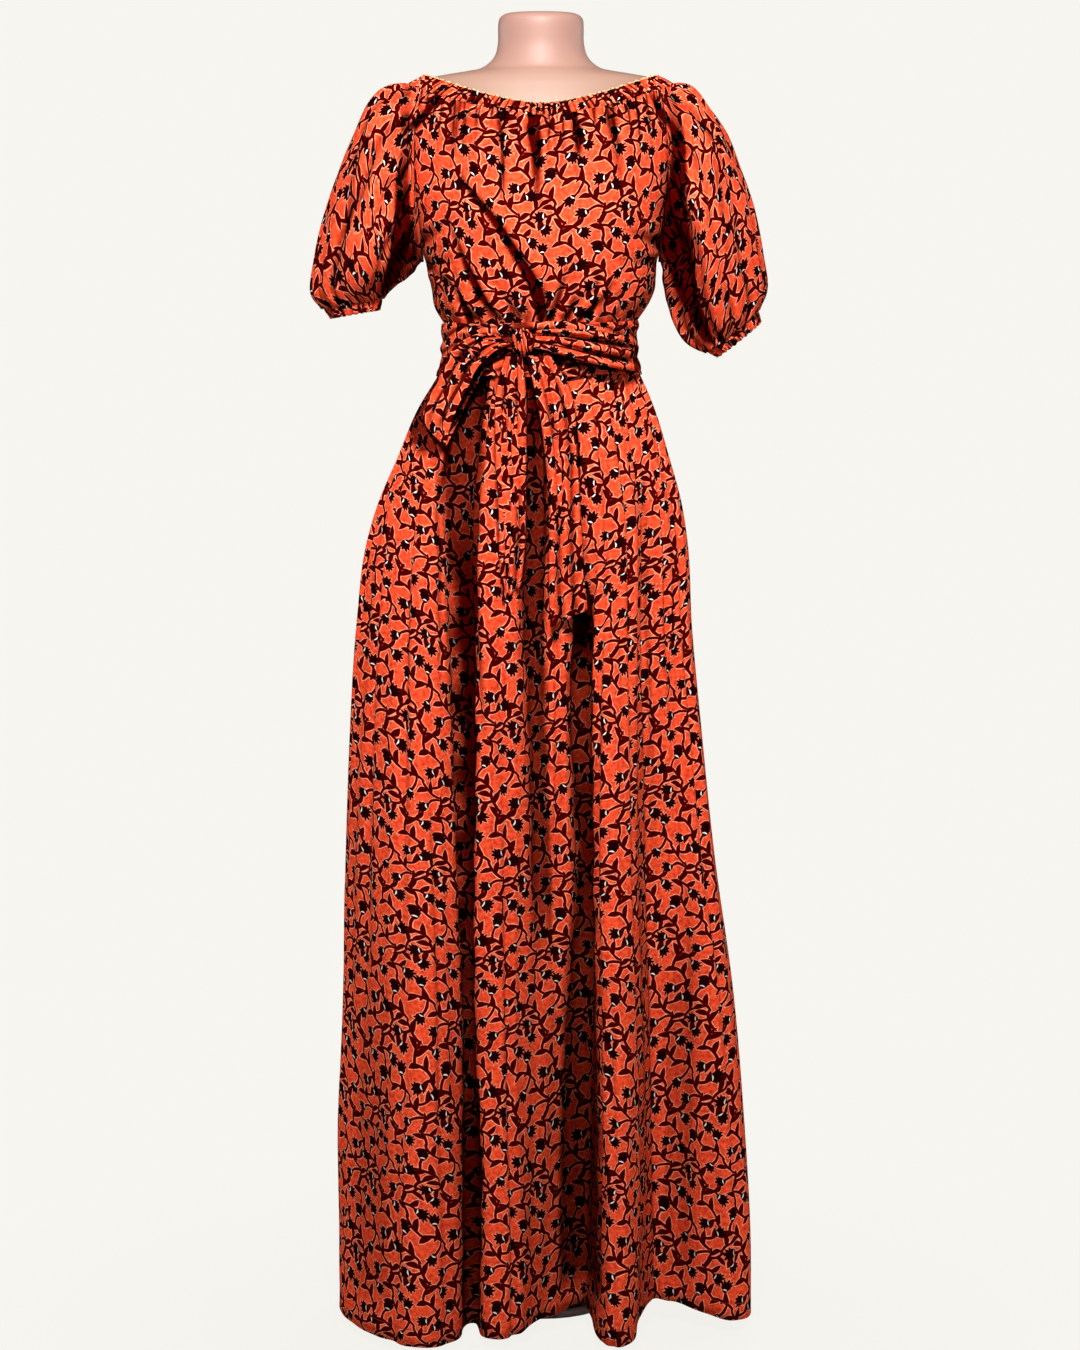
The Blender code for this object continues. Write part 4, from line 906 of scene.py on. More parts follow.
def sleevePanel(hand):
    turns, share = spread(0, 1, sleeves["columns"], sleeves["rows"], 1.1)
    # columns stand closer over the shoulder, where the gathers are
    turns = turns + sleeves["crowding"] * np.sin(2 * np.pi * turns)
    turn, seed = 2 * np.pi * turns, sleeves["seeds"][hand]
    growth = sleeves["gatherHeight"] * rising(share, *sleeves["fullFrom"]) ** 2
    growth *= gathers(turn, sleeves["gathers"], seed)
    count, height = sleeves["cuffGathers"]
    growth += height * rising(share, *sleeves["cuffFrom"]) ** 2 * gathers(turn, count, seed + 2)
    shoulder = bell((turns - 0.5) / sleeves["shoulderReach"])
    for count, height, reach in sleeves["shoulderGathers"]:
        growth += height * bell(share / reach) * shoulder * gathers(turn, count, seed)
    puff, _ = sleeveRing(sleeves[hand], turns, share, growth)
    middle = puff.mean(axis=1, keepdims=True)
    downward = [(a, b, -start, -end, *rest) for a, b, start, end, *rest in sleeves[hand + "Folds"]]
    folds = longFolds(downward, turns, -share)
    folds += sleeves["rumple"] * np.sin(31 * 2 * turns + 9 * share) * np.sin(14 * share + 2)
    folds *= rising(share, *sleeves["foldsFrom"]) * falling(share, *sleeves["foldsTo"])
    puff = raised(puff, folds, puff - middle, True)
    seam = np.clip(1 - share / sleeves["seamShare"], 0, 1)[..., None] ** 2
    points = puff * (1 - seam) + armholeRing(turns[0])[None] * seam
    points[:, -1] = points[:, 0]
    points[..., 0] *= -1.0 if hand == "right" else 1.0
    # painted shade: the shaded bands, the underarm near the body, and the fold and gather troughs
    shade, _ = shadedFolds(sleeves[hand + "Shaded"], points[..., 0], points[..., 2])
    under = falling(np.minimum(turns, 1 - turns), *sleeves["underTurn"])
    under *= falling(share, *sleeves["underTo"])
    paintedShade = np.clip(-(folds + growth) / sleeves["foldShade"], 0, 0.6)
    paintedShade += np.maximum(shade, sleeves["underShade"] * under)
    paintedShade[:, -1] = paintedShade[:, 0]
    return clearOfForm(points, 0.001), {"paintedShade": np.clip(paintedShade, 0, 1)}


def cuffPanel(hand):
    table, seed = sleeves[hand], sleeves["seeds"][hand]
    turns = np.linspace(0, 1, cuffs["columns"] + 1)
    turn, end = 2 * np.pi * turns, np.ones_like(turns)
    _, half = sleeveRing(table, turns, end, 0.0)
    along = np.stack([half[:, 2], 0 * turns, -half[:, 0]], axis=-1)
    along /= np.linalg.norm(along, axis=-1)[:, None]
    along *= -np.sign(along[:, 2:3])
    rows, shades = [], []
    for distance, growth, height in cuffs["rows"]:
        folds = height * gathers(turn, sleeves["gathers"], seed)
        fine = gathers(turn, cuffs["fineGathers"], seed + 1) * min(1, distance / cuffs["fineFrom"])
        folds += cuffs["fineShare"] * height * fine
        ring, _ = sleeveRing(table, turns, end, growth + folds)
        wave = cuffs["edgeWave"] * np.sin(23 * turn + seed) * distance / cuffs["depth"]
        rows.append(ring + along * (distance + wave[:, None]))
        # painted shade in the gather troughs
        shades.append(np.clip(-folds / cuffs["shadeDepth"], 0, 0.8))
    points, shades = np.array(rows), np.array(shades)
    points[:, -1], shades[:, -1] = points[:, 0], shades[:, 0]
    points[..., 0] *= -1.0 if hand == "right" else 1.0
    return points, {"paintedShade": shades}


for hand, printAt in (("right", (0.21, 0.13)), ("left", (0.62, 0.37))):
    points, marks = sleevePanel(hand)
    piece = gridPiece("puffSleeve" + hand.title(), points, waxPrintCotton, printAt,
                      centre=sleeves["columns"] // 4, closed=True, turned=hand == "left", marks=marks)
    dressPiece(piece, "sleeve_" + hand)
    points, marks = cuffPanel(hand)
    piece = gridPiece("gatheredCuff" + hand.title(), points, waxPrintCotton,
                      (printAt[0] + 0.03, printAt[1] - 0.27), centre=cuffs["columns"] // 4,
                      closed=True, turned=hand == "left", marks=marks)
    dressPiece(piece, "cuff_" + hand)
print("sleeves sewn")

# gathered neck casing
neck = {
    "columns": 1300,
    "rows": metres([  # share of the way to the frill, bulge, gather height as a share
        (-0.03, -0.3, 1), (0.14, 0.3, 1), (0.34, 0.7, 1), (0.52, 0.6, 1), (0.68, 0.3, 1.05),
        (0.82, 0.2, 1.1), (0.92, 0.1, 1.2), (0.97, 0.1, 1.2), (1, 0, 1.2),
    ], 0, 2),
    "frillHalfWidth": 0.1335, "frillFront": 0.0830, "frillBack": 0.0720,
    "rise": 0.0105, "riseFront": 0.0140,
    "flare": 0.25, "shadeDepth": 0.0010, "meanShade": 0.35,
    "threadFrom": 0.95, "meanThread": 0.8, "edgeWave": 0.0006,
}


def neckCasing():
    turn = np.linspace(0, 2 * np.pi, neck["columns"] + 1)
    ahead = np.cos(turn) >= 0
    folded = np.where(ahead, turn, np.pi - turn)
    folded = (folded + np.pi) % (2 * np.pi) - np.pi
    edgeZ = np.where(ahead, neckEdgeZ(folded, "front"), neckEdgeZ(folded, "back"))
    low = np.where(ahead[:, None], *(bodiceSurface(folded, edgeZ, side, 0.0) for side in ("front", "back")))
    towards = np.where(ahead, -1, 1)
    out = np.stack([np.sin(folded), np.cos(folded) * towards, np.full_like(turn, neck["flare"])], axis=-1)
    depth = np.where(ahead, neck["frillFront"], neck["frillBack"])
    rise = neck["rise"] + (neck["riseFront"] - neck["rise"]) * np.abs(np.cos(folded))
    high = np.stack([neck["frillHalfWidth"] * out[:, 0], depth * out[:, 1], edgeZ + rise], axis=-1)
    small = neckGathers(turn)
    rows, shades, thread = [], [], []
    for share, bulge, height in neck["rows"]:
        rows.append(low + (high - low) * share + out * (bulge + height * small)[:, None])
        # painted shade over the whole casing, deeper in the gather troughs, where the thread is dimmed by
        # painted shade too
        shades.append(np.clip(neck["meanShade"] - small / neck["shadeDepth"], 0, 1))
        sewn = np.clip(neck["meanThread"] + small / neck["shadeDepth"], 0.15, 1)
        thread.append(sewn * (share > neck["threadFrom"]))
    points, shades, thread = np.array(rows), np.array(shades), np.array(thread)
    points[:, -1], shades[:, -1] = points[:, 0], shades[:, 0]
    points[-2:, :, 2] += neck["edgeWave"] * np.sin(61 * turn)
    points[-2:, -1] = points[-2:, 0]
    return points[::-1], {"paintedShade": shades[::-1], "oversewnWithShade": thread[::-1]}


points, marks = neckCasing()
casing = gridPiece("neckCasing", points, waxPrintCotton, (0.1, 0.02), closed=True, marks=marks)
dressPiece(casing, "neck_casing")
print("neck gathered")

# skirt
skirt = {
    "waistZ": 1.165,
    # z, half width at the right, at the left, depth in front, behind, share of hem folds
    "sections": metres([
        (1165, 106, 103, 84, 82, 0), (1148, 110.5, 106.5, 86, 85, 0), (1130, 120, 115.5, 91, 92, 0.02),
        (1100, 138, 129, 105, 108, 0.06), (1030, 169, 151, 123, 128, 0.13),
        (983, 189, 164, 131, 135, 0.19), (935, 203, 172, 137, 140, 0.26),
        (840, 215, 178, 146, 148, 0.38), (700, 225, 191.5, 156, 159, 0.54),
        (550, 231, 207, 166, 171, 0.69), (400, 233.5, 227.5, 174, 182, 0.82),
        (250, 240.5, 241.5, 182, 192, 0.92), (110, 240.5, 250, 187, 198, 0.98),
        (12, 242, 251, 190, 202, 1),
    ], 5),
    # hem: u across the panel, x, y, height above the floor
    "frontHem": metres([
        (-1, -238, 10, 14), (-0.91, -242, -45, 13), (-0.82, -223, -98, 12), (-0.73, -190, -150, 12),
        (-0.64, -148, -189, 12), (-0.55, -110, -179, 12), (-0.48, -90.5, -140, 14),
        (-0.42, -81, -93, 9), (-0.36, -70, -140, 12), (-0.28, -52, -164, 13), (-0.18, -29, -149, 14),
        (-0.06, -4, -113, 20), (0.06, 24, -85, 22), (0.12, 39, -76, 28), (0.18, 52, -74, 28),
        (0.25, 60, -115, 24), (0.31, 66.5, -162, 14), (0.38, 86, -189, 12), (0.45, 107, -168, 13),
        (0.52, 116.5, -115, 22), (0.58, 127, -74, 30), (0.67, 156, -64, 28), (0.77, 196, -86, 20),
        (0.86, 229, -99, 15), (0.94, 251, -60, 13), (1, 250, 5, 14),
    ], 0),
    "backHem": metres([
        (-1, -238, 10, 14), (-0.9, -235, 72, 14), (-0.8, -208, 118, 16), (-0.7, -178, 170, 13),
        (-0.6, -140, 187, 12), (-0.52, -115, 156, 14), (-0.45, -97, 134, 17), (-0.36, -80, 174, 13),
        (-0.26, -50, 201, 12), (-0.16, -23, 180, 13), (-0.08, -5, 144, 16), (0.02, 16, 170, 13),
        (0.12, 42, 202, 12), (0.22, 75, 195, 12), (0.32, 98, 156, 14), (0.4, 112, 134, 17),
        (0.5, 134, 170, 13), (0.6, 166, 182, 12), (0.7, 197, 152, 14), (0.8, 215, 110, 16),
        (0.9, 243, 68, 14), (1, 250, 5, 14),
    ], 0),
    "troughFade": 0.09,
    # troughs: u, half width in u, depth, z where deepest, z reach
    "frontTroughs": metres([
        (-0.8, 0.06, 4, 900, 220), (-0.62, 0.055, 6, 920, 260), (-0.42, 0.06, 13, 900, 340),
        (-0.06, 0.06, 10, 860, 300), (0.18, 0.05, 10, 920, 300), (0.4, 0.05, 3.5, 950, 200),
        (0.58, 0.055, 6, 880, 280), (0.8, 0.06, 4.5, 900, 220),
    ], 0, 1),
    "backTroughs": metres([
        (-0.66, 0.06, 6, 900, 260), (-0.45, 0.055, 9, 880, 300), (-0.08, 0.06, 11, 900, 300),
        (0.16, 0.05, 4, 940, 220), (0.4, 0.06, 9, 880, 300), (0.74, 0.055, 5, 900, 240),
    ], 0, 1),
    "columns": {"front": 440, "back": 320}, "rows": 102,
    "gathers": {"front": 27, "back": 24}, "gatherHeight": {"front": 0.0011, "back": 0.0018},
    "firstFold": (-0.40, 0.10, 0.045),  # u, half width in u, lean
    "seamFade": 0.05, "deepFold": 0.050, "gatherShade": 0.0050, "bowShade": 0.9,
    "ripples": (0.0010, 0.0006), "ridgeSpan": 26,
    "paleFrom": 0.45, "deepShades": (0.3, 0.7),  # painted shade in the deep folds is lighter on the wearer's left side, which lies in more light
    # how far the gathers reach down, and its waves: height, count, share of the seed
    "gatherReach": 0.105, "reachWander": [(0.040, 8, 1.0), (0.022, 19, 0.0)],
    # each shaded fold: z, x, half width, painted shade, depth
    "frontShaded": metres([
        [(1161, -66.7, 9.4, 1, 4), (1120, -74.5, 15, 0.96, 10), (1067, -85.7, 20.5, 0.88, 13),
         (986, -90.6, 20.5, 0.86, 15), (916, -90.1, 16.5, 0.98, 17), (811, -89.1, 13.5, 1, 19),
         (694, -87.9, 11.2, 1, 19), (519, -86.6, 7.8, 0.97, 17), (345, -83.1, 6.4, 0.93, 14),
         (205, -79.6, 9.4, 0.97, 14), (24, -83.1, 8.2, 0.92, 10)],
        [(1161, -22.2, 5.9, 1, 4), (1103, -11.5, 11.2, 0.94, 12), (986, -5, 15, 0.9, 15),
         (869, -8.5, 13, 0.9, 15), (753, -4.5, 11.2, 0.85, 13), (636, -1, 11.2, 0.82, 11),
         (519, 3.5, 12.5, 0.75, 8), (426, 8.2, 11, 0, 2)],
        [(881, 48, 9.4, 1, 10), (823, 48, 10.5, 1, 16), (753, 45.6, 11.7, 0.82, 14),
         (636, 50.3, 9.8, 0.95, 15), (519, 51.5, 9.8, 0.94, 15), (450, 49.1, 14, 0.88, 12),
         (345, 45.6, 19.9, 0.89, 10), (228, 44.5, 23.4, 0.91, 8), (65, 44.5, 24.6, 0.93, 6)],
        [(519, 168.5, 9.4, 0, 3), (403, 165, 14, 0.36, 6), (228, 162.6, 16.4, 0.4, 6),
         (65, 160.3, 16.4, 0.31, 4)],
        [(1044, -119.3, 3, 0.61, 3), (869, -118.2, 2.8, 0.51, 3), (753, -117, 2.6, 0.1, 1)],
        [(1067, -107.6, 5.9, 0.92, 6), (1033, -110, 6.4, 1, 7), (986, -111.1, 4.7, 0.51, 4),
         (963, -111.1, 3.5, 0, 2)],
        [(519, -197.7, 18.7, 0, 2), (345, -197.7, 23.4, 0.25, 4), (65, -200.1, 23.4, 0.31, 4)],
        [(1009, 118.2, 3.5, 0.36, 3), (753, 127.5, 3.5, 0.4, 3), (519, 133.4, 4.7, 0.1, 2)],
    ], 3),
    "backShaded": metres([
        [(1103, -83.1, 10.5, 0.61, 8), (869, -92.4, 10.5, 0.81, 12), (636, -97.1, 9.4, 0.81, 12),
         (403, -104.1, 9.4, 0.76, 12), (65, -111.1, 10.5, 0.71, 8)],
        [(1103, 4.7, 9.4, 0.61, 8), (928, 8.2, 10.5, 0.86, 13), (636, 4.7, 10.5, 0.86, 13),
         (345, -1.2, 14, 0.81, 12), (65, -4.7, 18.7, 0.81, 8)],
        [(1079, 80.7, 9.4, 0.51, 7), (869, 90.1, 9.4, 0.81, 11), (578, 99.4, 9.4, 0.81, 11),
         (286, 106.5, 11.7, 0.76, 10), (65, 112.3, 14, 0.71, 8)],
        [(963, -153.3, 5.9, 0.4, 4), (636, -167.3, 7, 0.51, 5), (286, -179, 8.2, 0.4, 5),
         (65, -183.7, 9.4, 0.31, 4)],
    ], 3),
    # soft folds: u above, below, z above, below, half width above, below, depth above, middle, below
    "frontFolds": metres([
        (-0.6, -0.66, 1110, 420, 0.016, 0.016, 4, 5, 1),
        (-0.74, -0.8, 1090, 300, 0.018, 0.018, 3.6, 5.6, 1.2),
        (-0.88, -0.93, 1080, 100, 0.016, 0.016, 3, 4.6, 2),
        (-0.52, -0.55, 900, 60, 0.015, 0.015, 1, 4.4, 2.6),
        (-0.3, -0.26, 1120, 620, 0.014, 0.014, 4, 5, 0.8),
        (-0.18, -0.2, 860, 40, 0.015, 0.015, 0.8, 5, 3),
        (0.06, 0.04, 1120, 400, 0.015, 0.015, 4, 5.6, 1),
        (0.32, 0.3, 1115, 120, 0.014, 0.014, 4.4, 4.6, 3),
        (0.44, 0.5, 1110, 200, 0.015, 0.015, 4.4, 6, 3),
        (0.56, 0.62, 1100, 60, 0.018, 0.018, 3.8, 6.4, 4),
        (0.7, 0.74, 1090, 480, 0.016, 0.016, 3.4, 4.6, 1),
        (0.84, 0.88, 1080, 100, 0.017, 0.017, 3, 5, 2.6),
        (-0.64, -0.7, 420, 30, 0.016, 0.016, 0.6, 4, 4),
        (0.36, 0.38, 520, 30, 0.012, 0.012, 0.6, 3.6, 3),
    ], 0, 1, 4, 5),
    "backFolds": metres([
        (-0.84, -0.86, 1090, 100, 0.018, 0.018, 3.4, 5.6, 2.6),
        (-0.66, -0.7, 1110, 400, 0.017, 0.017, 4, 5.6, 1),
        (-0.48, -0.46, 1120, 40, 0.017, 0.017, 5, 11, 6),
        (-0.28, -0.3, 1120, 300, 0.016, 0.016, 4.2, 5.6, 1.6),
        (-0.1, -0.08, 1125, 40, 0.018, 0.018, 6, 12, 7), (0.08, 0.1, 1115, 460, 0.015, 0.015, 4, 5, 1),
        (0.24, 0.22, 1120, 120, 0.017, 0.017, 4.4, 6.4, 3),
        (0.42, 0.41, 1120, 40, 0.017, 0.017, 5, 11, 6),
        (0.6, 0.64, 1105, 340, 0.016, 0.016, 4, 5.6, 1.4),
        (0.78, 0.8, 1090, 80, 0.018, 0.018, 3.4, 6, 3),
    ], 0, 1, 4, 5),
}
hemSection = skirt["sections"][-1]


def skirtSurface(side, u, z, ripple):
    hem, sections = skirt[side + "Hem"], skirt["sections"]
    depthIndex, out = (4, 1.0) if side == "back" else (3, -1.0)
    angle = u * np.pi / 2
    width, depth = halfWidths(sections, z, np.sin(angle)), smooth(sections, depthIndex, z)
    share = np.clip(smooth(sections, 5, z), 0, 1)
    drawn = np.zeros_like(u)
    for at, half, deep, middle, reach in skirt[side + "Troughs"]:
        drawn += deep * bell((u - at) / half) * np.exp(-((z - middle) / reach) ** 4)
    grow = ripple - drawn * (1 - bell((skirt["waistZ"] - z) / skirt["troughFade"]))
    hemWidth = halfWidths(sections, np.full_like(z, hemSection[0]), np.sin(angle))
    if side == "front":  # the first fold leans in towards the middle at half height
        way = falling(z, skirt["waistZ"], skirt["waistZ"])
        foldU, half, lean = skirt["firstFold"]
        u = u - lean * bell((u - foldU) / half) * np.sin(np.pi * way)
    foldX = smooth(hem, 1, u) * width / hemWidth
    foldY = smooth(hem, 2, u) * depth / hemSection[depthIndex]
    x = (width + grow) * np.sin(angle) * (1 - share) + foldX * share
    y = out * (depth + grow) * np.cos(angle) * (1 - share) + foldY * share
    return np.stack([x, y, z], axis=-1)


# sash, bow and tails: charted before the skirt is made, since the bow shades it
sash = {
    "columns": 260, "wrapRows": 46,
    "wrap": metres([  # z in front, half width at the right, at the left, depth in front, behind
        (1191.5, 116, 113.2, 95, 89.5), (1186, 117.2, 114.2, 95.8, 90.3),
        (1174, 115.2, 111.4, 92.4, 88), (1162, 117.6, 114, 94.6, 90.5), (1150, 116.6, 113, 93.6, 90.5),
        (1140, 120, 116.2, 96.6, 94), (1130, 122.8, 118.2, 98, 96),
    ]),
    "tilt": 0.002, "wrapPleat": 0.0019, "pleatCount": 4.6, "pleatFall": 5.0, "wrapFade": 0.06,
    "countWander": 0.6, "pleatWander": [(0.22, 3, 0.0), (0.12, 8, 2.0)],  # height, count, start
    "knotPull": (0.35, 0.4), "edgeWave": 0.0012,
    "loopRadius": 0.115, "loopPleat": 0.0042, "loopFinePleat": 0.0014, "loopShade": 0.0024,
    "turnsBack": (0.5, 0.12), "insideFrom": (0.53, 0.05),  # share along the loop, and over how much; from insideFrom on the loop carries painted shade
    "tailPleat": 0.0042, "tailFinePleat": 0.0011, "tailSlant": 0.010, "tailShade": 0.0048,
    "sharpPleatShade": (0.0400, 0.08, 1.13, 0.0015),  # x, lean, z at its top, half width
    "loopRows": 110, "loopColumns": 44, "tailRows": 100, "tailColumns": 52,
    "shadeReach": {"right": 0.0055, "left": 0.0075}, "besideTail": 0.0035, "knotReach": (0.003, 0.004),
    "knotEdge": (1.35, 0.3),
    # loops: share along the loop, way round in degrees, z, half width, stand-off
    "rightLoop": metres([
        (0, -19.75, 1174, 10, 15), (0.12, -28, 1170, 15, 19.5), (0.25, -39, 1150, 19, 22),
        (0.36, -45, 1118, 22, 20), (0.44, -49, 1088, 24.5, 15), (0.5, -51, 1066, 25.5, 9),
        (0.57, -49.5, 1085, 24.5, 4.2), (0.72, -45, 1120, 21, 4.4), (0.86, -36, 1152, 15.5, 6),
        (1, -21, 1168, 9.5, 8.5),
    ], 0, 1),
    "leftLoop": metres([
        (0, -2.9, 1174, 10, 15), (0.12, 12, 1171, 15, 19.5), (0.25, 28, 1164, 18, 20),
        (0.36, 43, 1159, 19, 17), (0.44, 54, 1156, 19, 13), (0.5, 61, 1154.5, 18.5, 8.5),
        (0.57, 54, 1156, 17.5, 4.2), (0.72, 36, 1159.5, 15.5, 4.4), (0.86, 15, 1165, 12.5, 5.6),
        (1, 2, 1168, 8.5, 7),
    ], 0, 1),
    # tails: z, right edge x, left edge x, y of the middle
    "rightTail": metres([
        (1153.8, -40, -22, -105), (1120, -50, -18, -108.5), (1060, -52, -17, -115.7),
        (985, -50, -18, -125.2), (930, -48, -19, -130.8), (884, -44, -23, -134),
    ]),
    "leftTail": metres([
        (1154.8, -16, 11, -105), (1122, -8, 30, -108.2), (1060, 3, 42, -115), (985, 9, 44, -123.2),
        (920, 9, 48, -129.8), (856, 11, 53, -135.8),
    ]),
    "knotCentre": (-0.0215, -0.1055, 1.1700), "knotHalf": (0.0135, 0.0125, 0.0165),
    "knotLean": 0.16, "knotPleats": (0.055, 0.03), "knotWaist": (0.10, 0.35), "knotShade": (0.05, 0.35),
}


def sashSurface(angle, z, standOff):
    # lies over the skirt below the waist, and over the sash's wrap
    sections, wrap, side = skirt["sections"], sash["wrap"], np.sin(angle)
    sideZ = np.clip(z, hemSection[0], sections[0][0])
    width = np.maximum(halfWidths(sections, sideZ, side), halfWidths(wrap, z, side))
    depth = np.maximum(smooth(sections, 3, sideZ), smooth(wrap, 3, z))
    return np.stack([(width + standOff) * side, -(depth + standOff) * np.cos(angle), z], axis=-1)


def besideBow(x, z):
    # shade on the cloth just under the loops' and the knot's lower edges, and beside the tails
    shade = np.zeros_like(x)
    for hand in ("right", "left"):
        table, tail = sash[hand + "Loop"], sash[hand + "Tail"]
        share = np.linspace(0, 0.5, 60)
        way, height, half, off = (smooth(table, index, share) for index in (1, 2, 3, 4))
        path = sashSurface(np.radians(way), height, off)[:, 0]
        for pathX, pathZ, reach in zip(path, height, half):
            off = np.hypot(x - pathX, z - pathZ) - reach
            under = np.clip(1 - off / sash["shadeReach"][hand], 0, 1) * (z < pathZ + 0.3 * reach)
            shade = np.maximum(shade, under)
        beside = np.minimum(np.abs(x - smooth(tail, 1, z)), np.abs(x - smooth(tail, 2, z)))
        beside = np.clip(1 - beside / sash["besideTail"], 0, 1) * ((z < tail[0][0]) & (z > tail[-1][0]))
        shade = np.maximum(shade, beside)
    middle, half = sash["knotCentre"], sash["knotHalf"]
    reachX, reachZ = sash["knotReach"]
    away = np.hypot((x - middle[0]) / (half[0] + reachX), (z - middle[2]) / (half[2] + reachZ))
    return np.maximum(shade, falling(away, *sash["knotEdge"]))


def skirtPanel(side):
    u, down = spread(-1, 1, skirt["columns"][side], skirt["rows"], 1.35)
    angle, waistZ = u * np.pi / 2, skirt["waistZ"]
    out, depthIndex, seed = (1, 4, 4.2) if side == "back" else (-1, 3, 0.9)
    hemZ = smooth(skirt[side + "Hem"], 3, u)
    z = waistZ + (hemZ - waistZ) * down
    reach = waves(u, seed, skirt["reachWander"], skirt["gatherReach"])
    gathered = bell((waistZ - z) / reach) * np.cos(np.pi / 2 * u) ** 0.5
    ripple = skirt["gatherHeight"][side] * gathered * gathers(np.pi * u, skirt["gathers"][side], seed)
    points = skirtSurface(side, u, z, ripple)
    folds = longFolds(skirt[side + "Folds"], u, z)
    broad, fine = skirt["ripples"]
    folds += broad * np.sin(34 * u + 5 * z) * np.sin(7 * z + 2 * u + seed) + fine * np.sin(71 * u - 9 * z)
    shade, groove = shadedFolds(skirt[side + "Shaded"], points[..., 0], z)
    folds = (folds + groove) * falling(np.abs(u), 1, skirt["seamFade"])
    outside = np.stack([np.sin(angle), np.cos(angle) * out, 0 * u], axis=-1)
    points = clearOfForm(raised(points, folds, outside))
    width = halfWidths(skirt["sections"], z, np.sin(angle))
    depth = smooth(skirt["sections"], depthIndex, z)
    outward = np.hypot(points[..., 0] / width, points[..., 1] / depth) * depth
    # painted shade in the deep folds, and in the gather troughs below the waist
    deep = hollowness(outward, len(u[0]) // skirt["ridgeSpan"], skirt["deepFold"])
    deep *= np.where(u > skirt["paleFrom"], *skirt["deepShades"])
    shade = np.maximum(shade, deep) + np.clip(-ripple / skirt["gatherShade"], 0, 0.4)
    # painted shadow under the bow's loops and knot and beside its tails
    if side == "front":
        shade = np.maximum(shade, skirt["bowShade"] * besideBow(points[..., 0], z))
    return points, {"paintedShade": np.clip(shade, 0, 1), "fromHem": z - hemZ}


for side, printAt in (("front", (0.0, 0.0)), ("back", (0.37, 0.21))):
    points, marks = skirtPanel(side)
    panel = gridPiece("skirt" + side.title() + "Panel", points, waxPrintCotton, printAt,
                      turned=side == "back", marks=marks)
    dressPiece(panel, "skirt_" + side)
print("skirt hung")

# sash, tied over the waist seam


def sashWrap():
    turn, down = spread(-np.pi, np.pi, sash["columns"], sash["wrapRows"])
    wrap = sash["wrap"]
    z = wrap[0][0] + (wrap[-1][0] - wrap[0][0]) * down
    width = np.where(np.sin(turn) > 0, smooth(wrap, 2, z), smooth(wrap, 1, z))
    depth = np.where(np.cos(turn) > 0, smooth(wrap, 3, z), smooth(wrap, 4, z))
    # long pleats that wander, close up at the knot and fall away from it
    knotTurn = math.atan2(sash["knotCentre"][0], -sash["knotCentre"][1])
    pull, flatter = sash["knotPull"]
    close = bell((turn - knotTurn) / pull)
    fall = np.sin((turn - knotTurn) / 2) ** 2
    count = sash["pleatCount"] + sash["countWander"] * np.sin(2 * turn + 1)
    phase = down * count - sash["pleatFall"] * fall + waves(turn, 1.0, sash["pleatWander"])
    pleat = sash["wrapPleat"] * np.sin(2 * np.pi * phase)
    pleat *= np.clip(down / sash["wrapFade"], 0.2, 1) * np.clip((1 - down) / sash["wrapFade"], 0.2, 1)
    width, depth = width + 0.3 * pleat, depth + pleat * (1 - flatter * close)
    height = z + sash["tilt"] * np.sin(turn + 0.6)
    height += sash["edgeWave"] * np.sin(5 * turn + 1) * (1 - 2 * down)
    points = np.stack([width * np.sin(turn), -depth * np.cos(turn), height], axis=-1)
    points[:, -1] = points[:, 0]
    # painted shade in the pleat troughs, and painted shadow under the bow
    bowShade = skirt["bowShade"] * besideBow(points[..., 0], points[..., 2]) * (points[..., 1] < 0)
    shade = np.clip(-pleat / sash["wrapPleat"], 0, 0.85) + bowShade
    return points, {"paintedShade": np.clip(shade, 0, 1)}


def bowLoop(hand):
    table, reach = sash[hand + "Loop"], sash["loopRadius"]
    across, share = spread(-1, 1, sash["loopColumns"], sash["loopRows"])
    way, z, half, off = (smooth(table, index, share) for index in (1, 2, 3, 4))
    endWay, endZ = math.radians(table[4][1] - table[0][1]) * reach, table[4][2] - table[0][2]
    length = math.hypot(endWay, endZ)
    pleat = sash["loopPleat"] * np.cos(2.5 * np.pi * across) * np.clip(half / 0.02, 0, 1)
    fine = sash["loopFinePleat"] * np.cos(7.3 * np.pi * across + 2 * np.sin(5 * share))
    rise = (pleat + fine * bell((share - 0.1) / 0.30)) * falling(share, *sash["turnsBack"])
    angle = np.radians(way) - across * half * endZ / length / reach
    points = sashSurface(angle, z + across * half * endWay / length, off + rise)
    # painted shade in the pleat troughs, and over the inner layer of the loop behind its turn
    inner = rising(share, *sash["insideFrom"])
    return points, {"paintedShade": np.clip(np.clip(-rise / sash["loopShade"], 0, 0.95) + 0.9 * inner, 0, 1)}


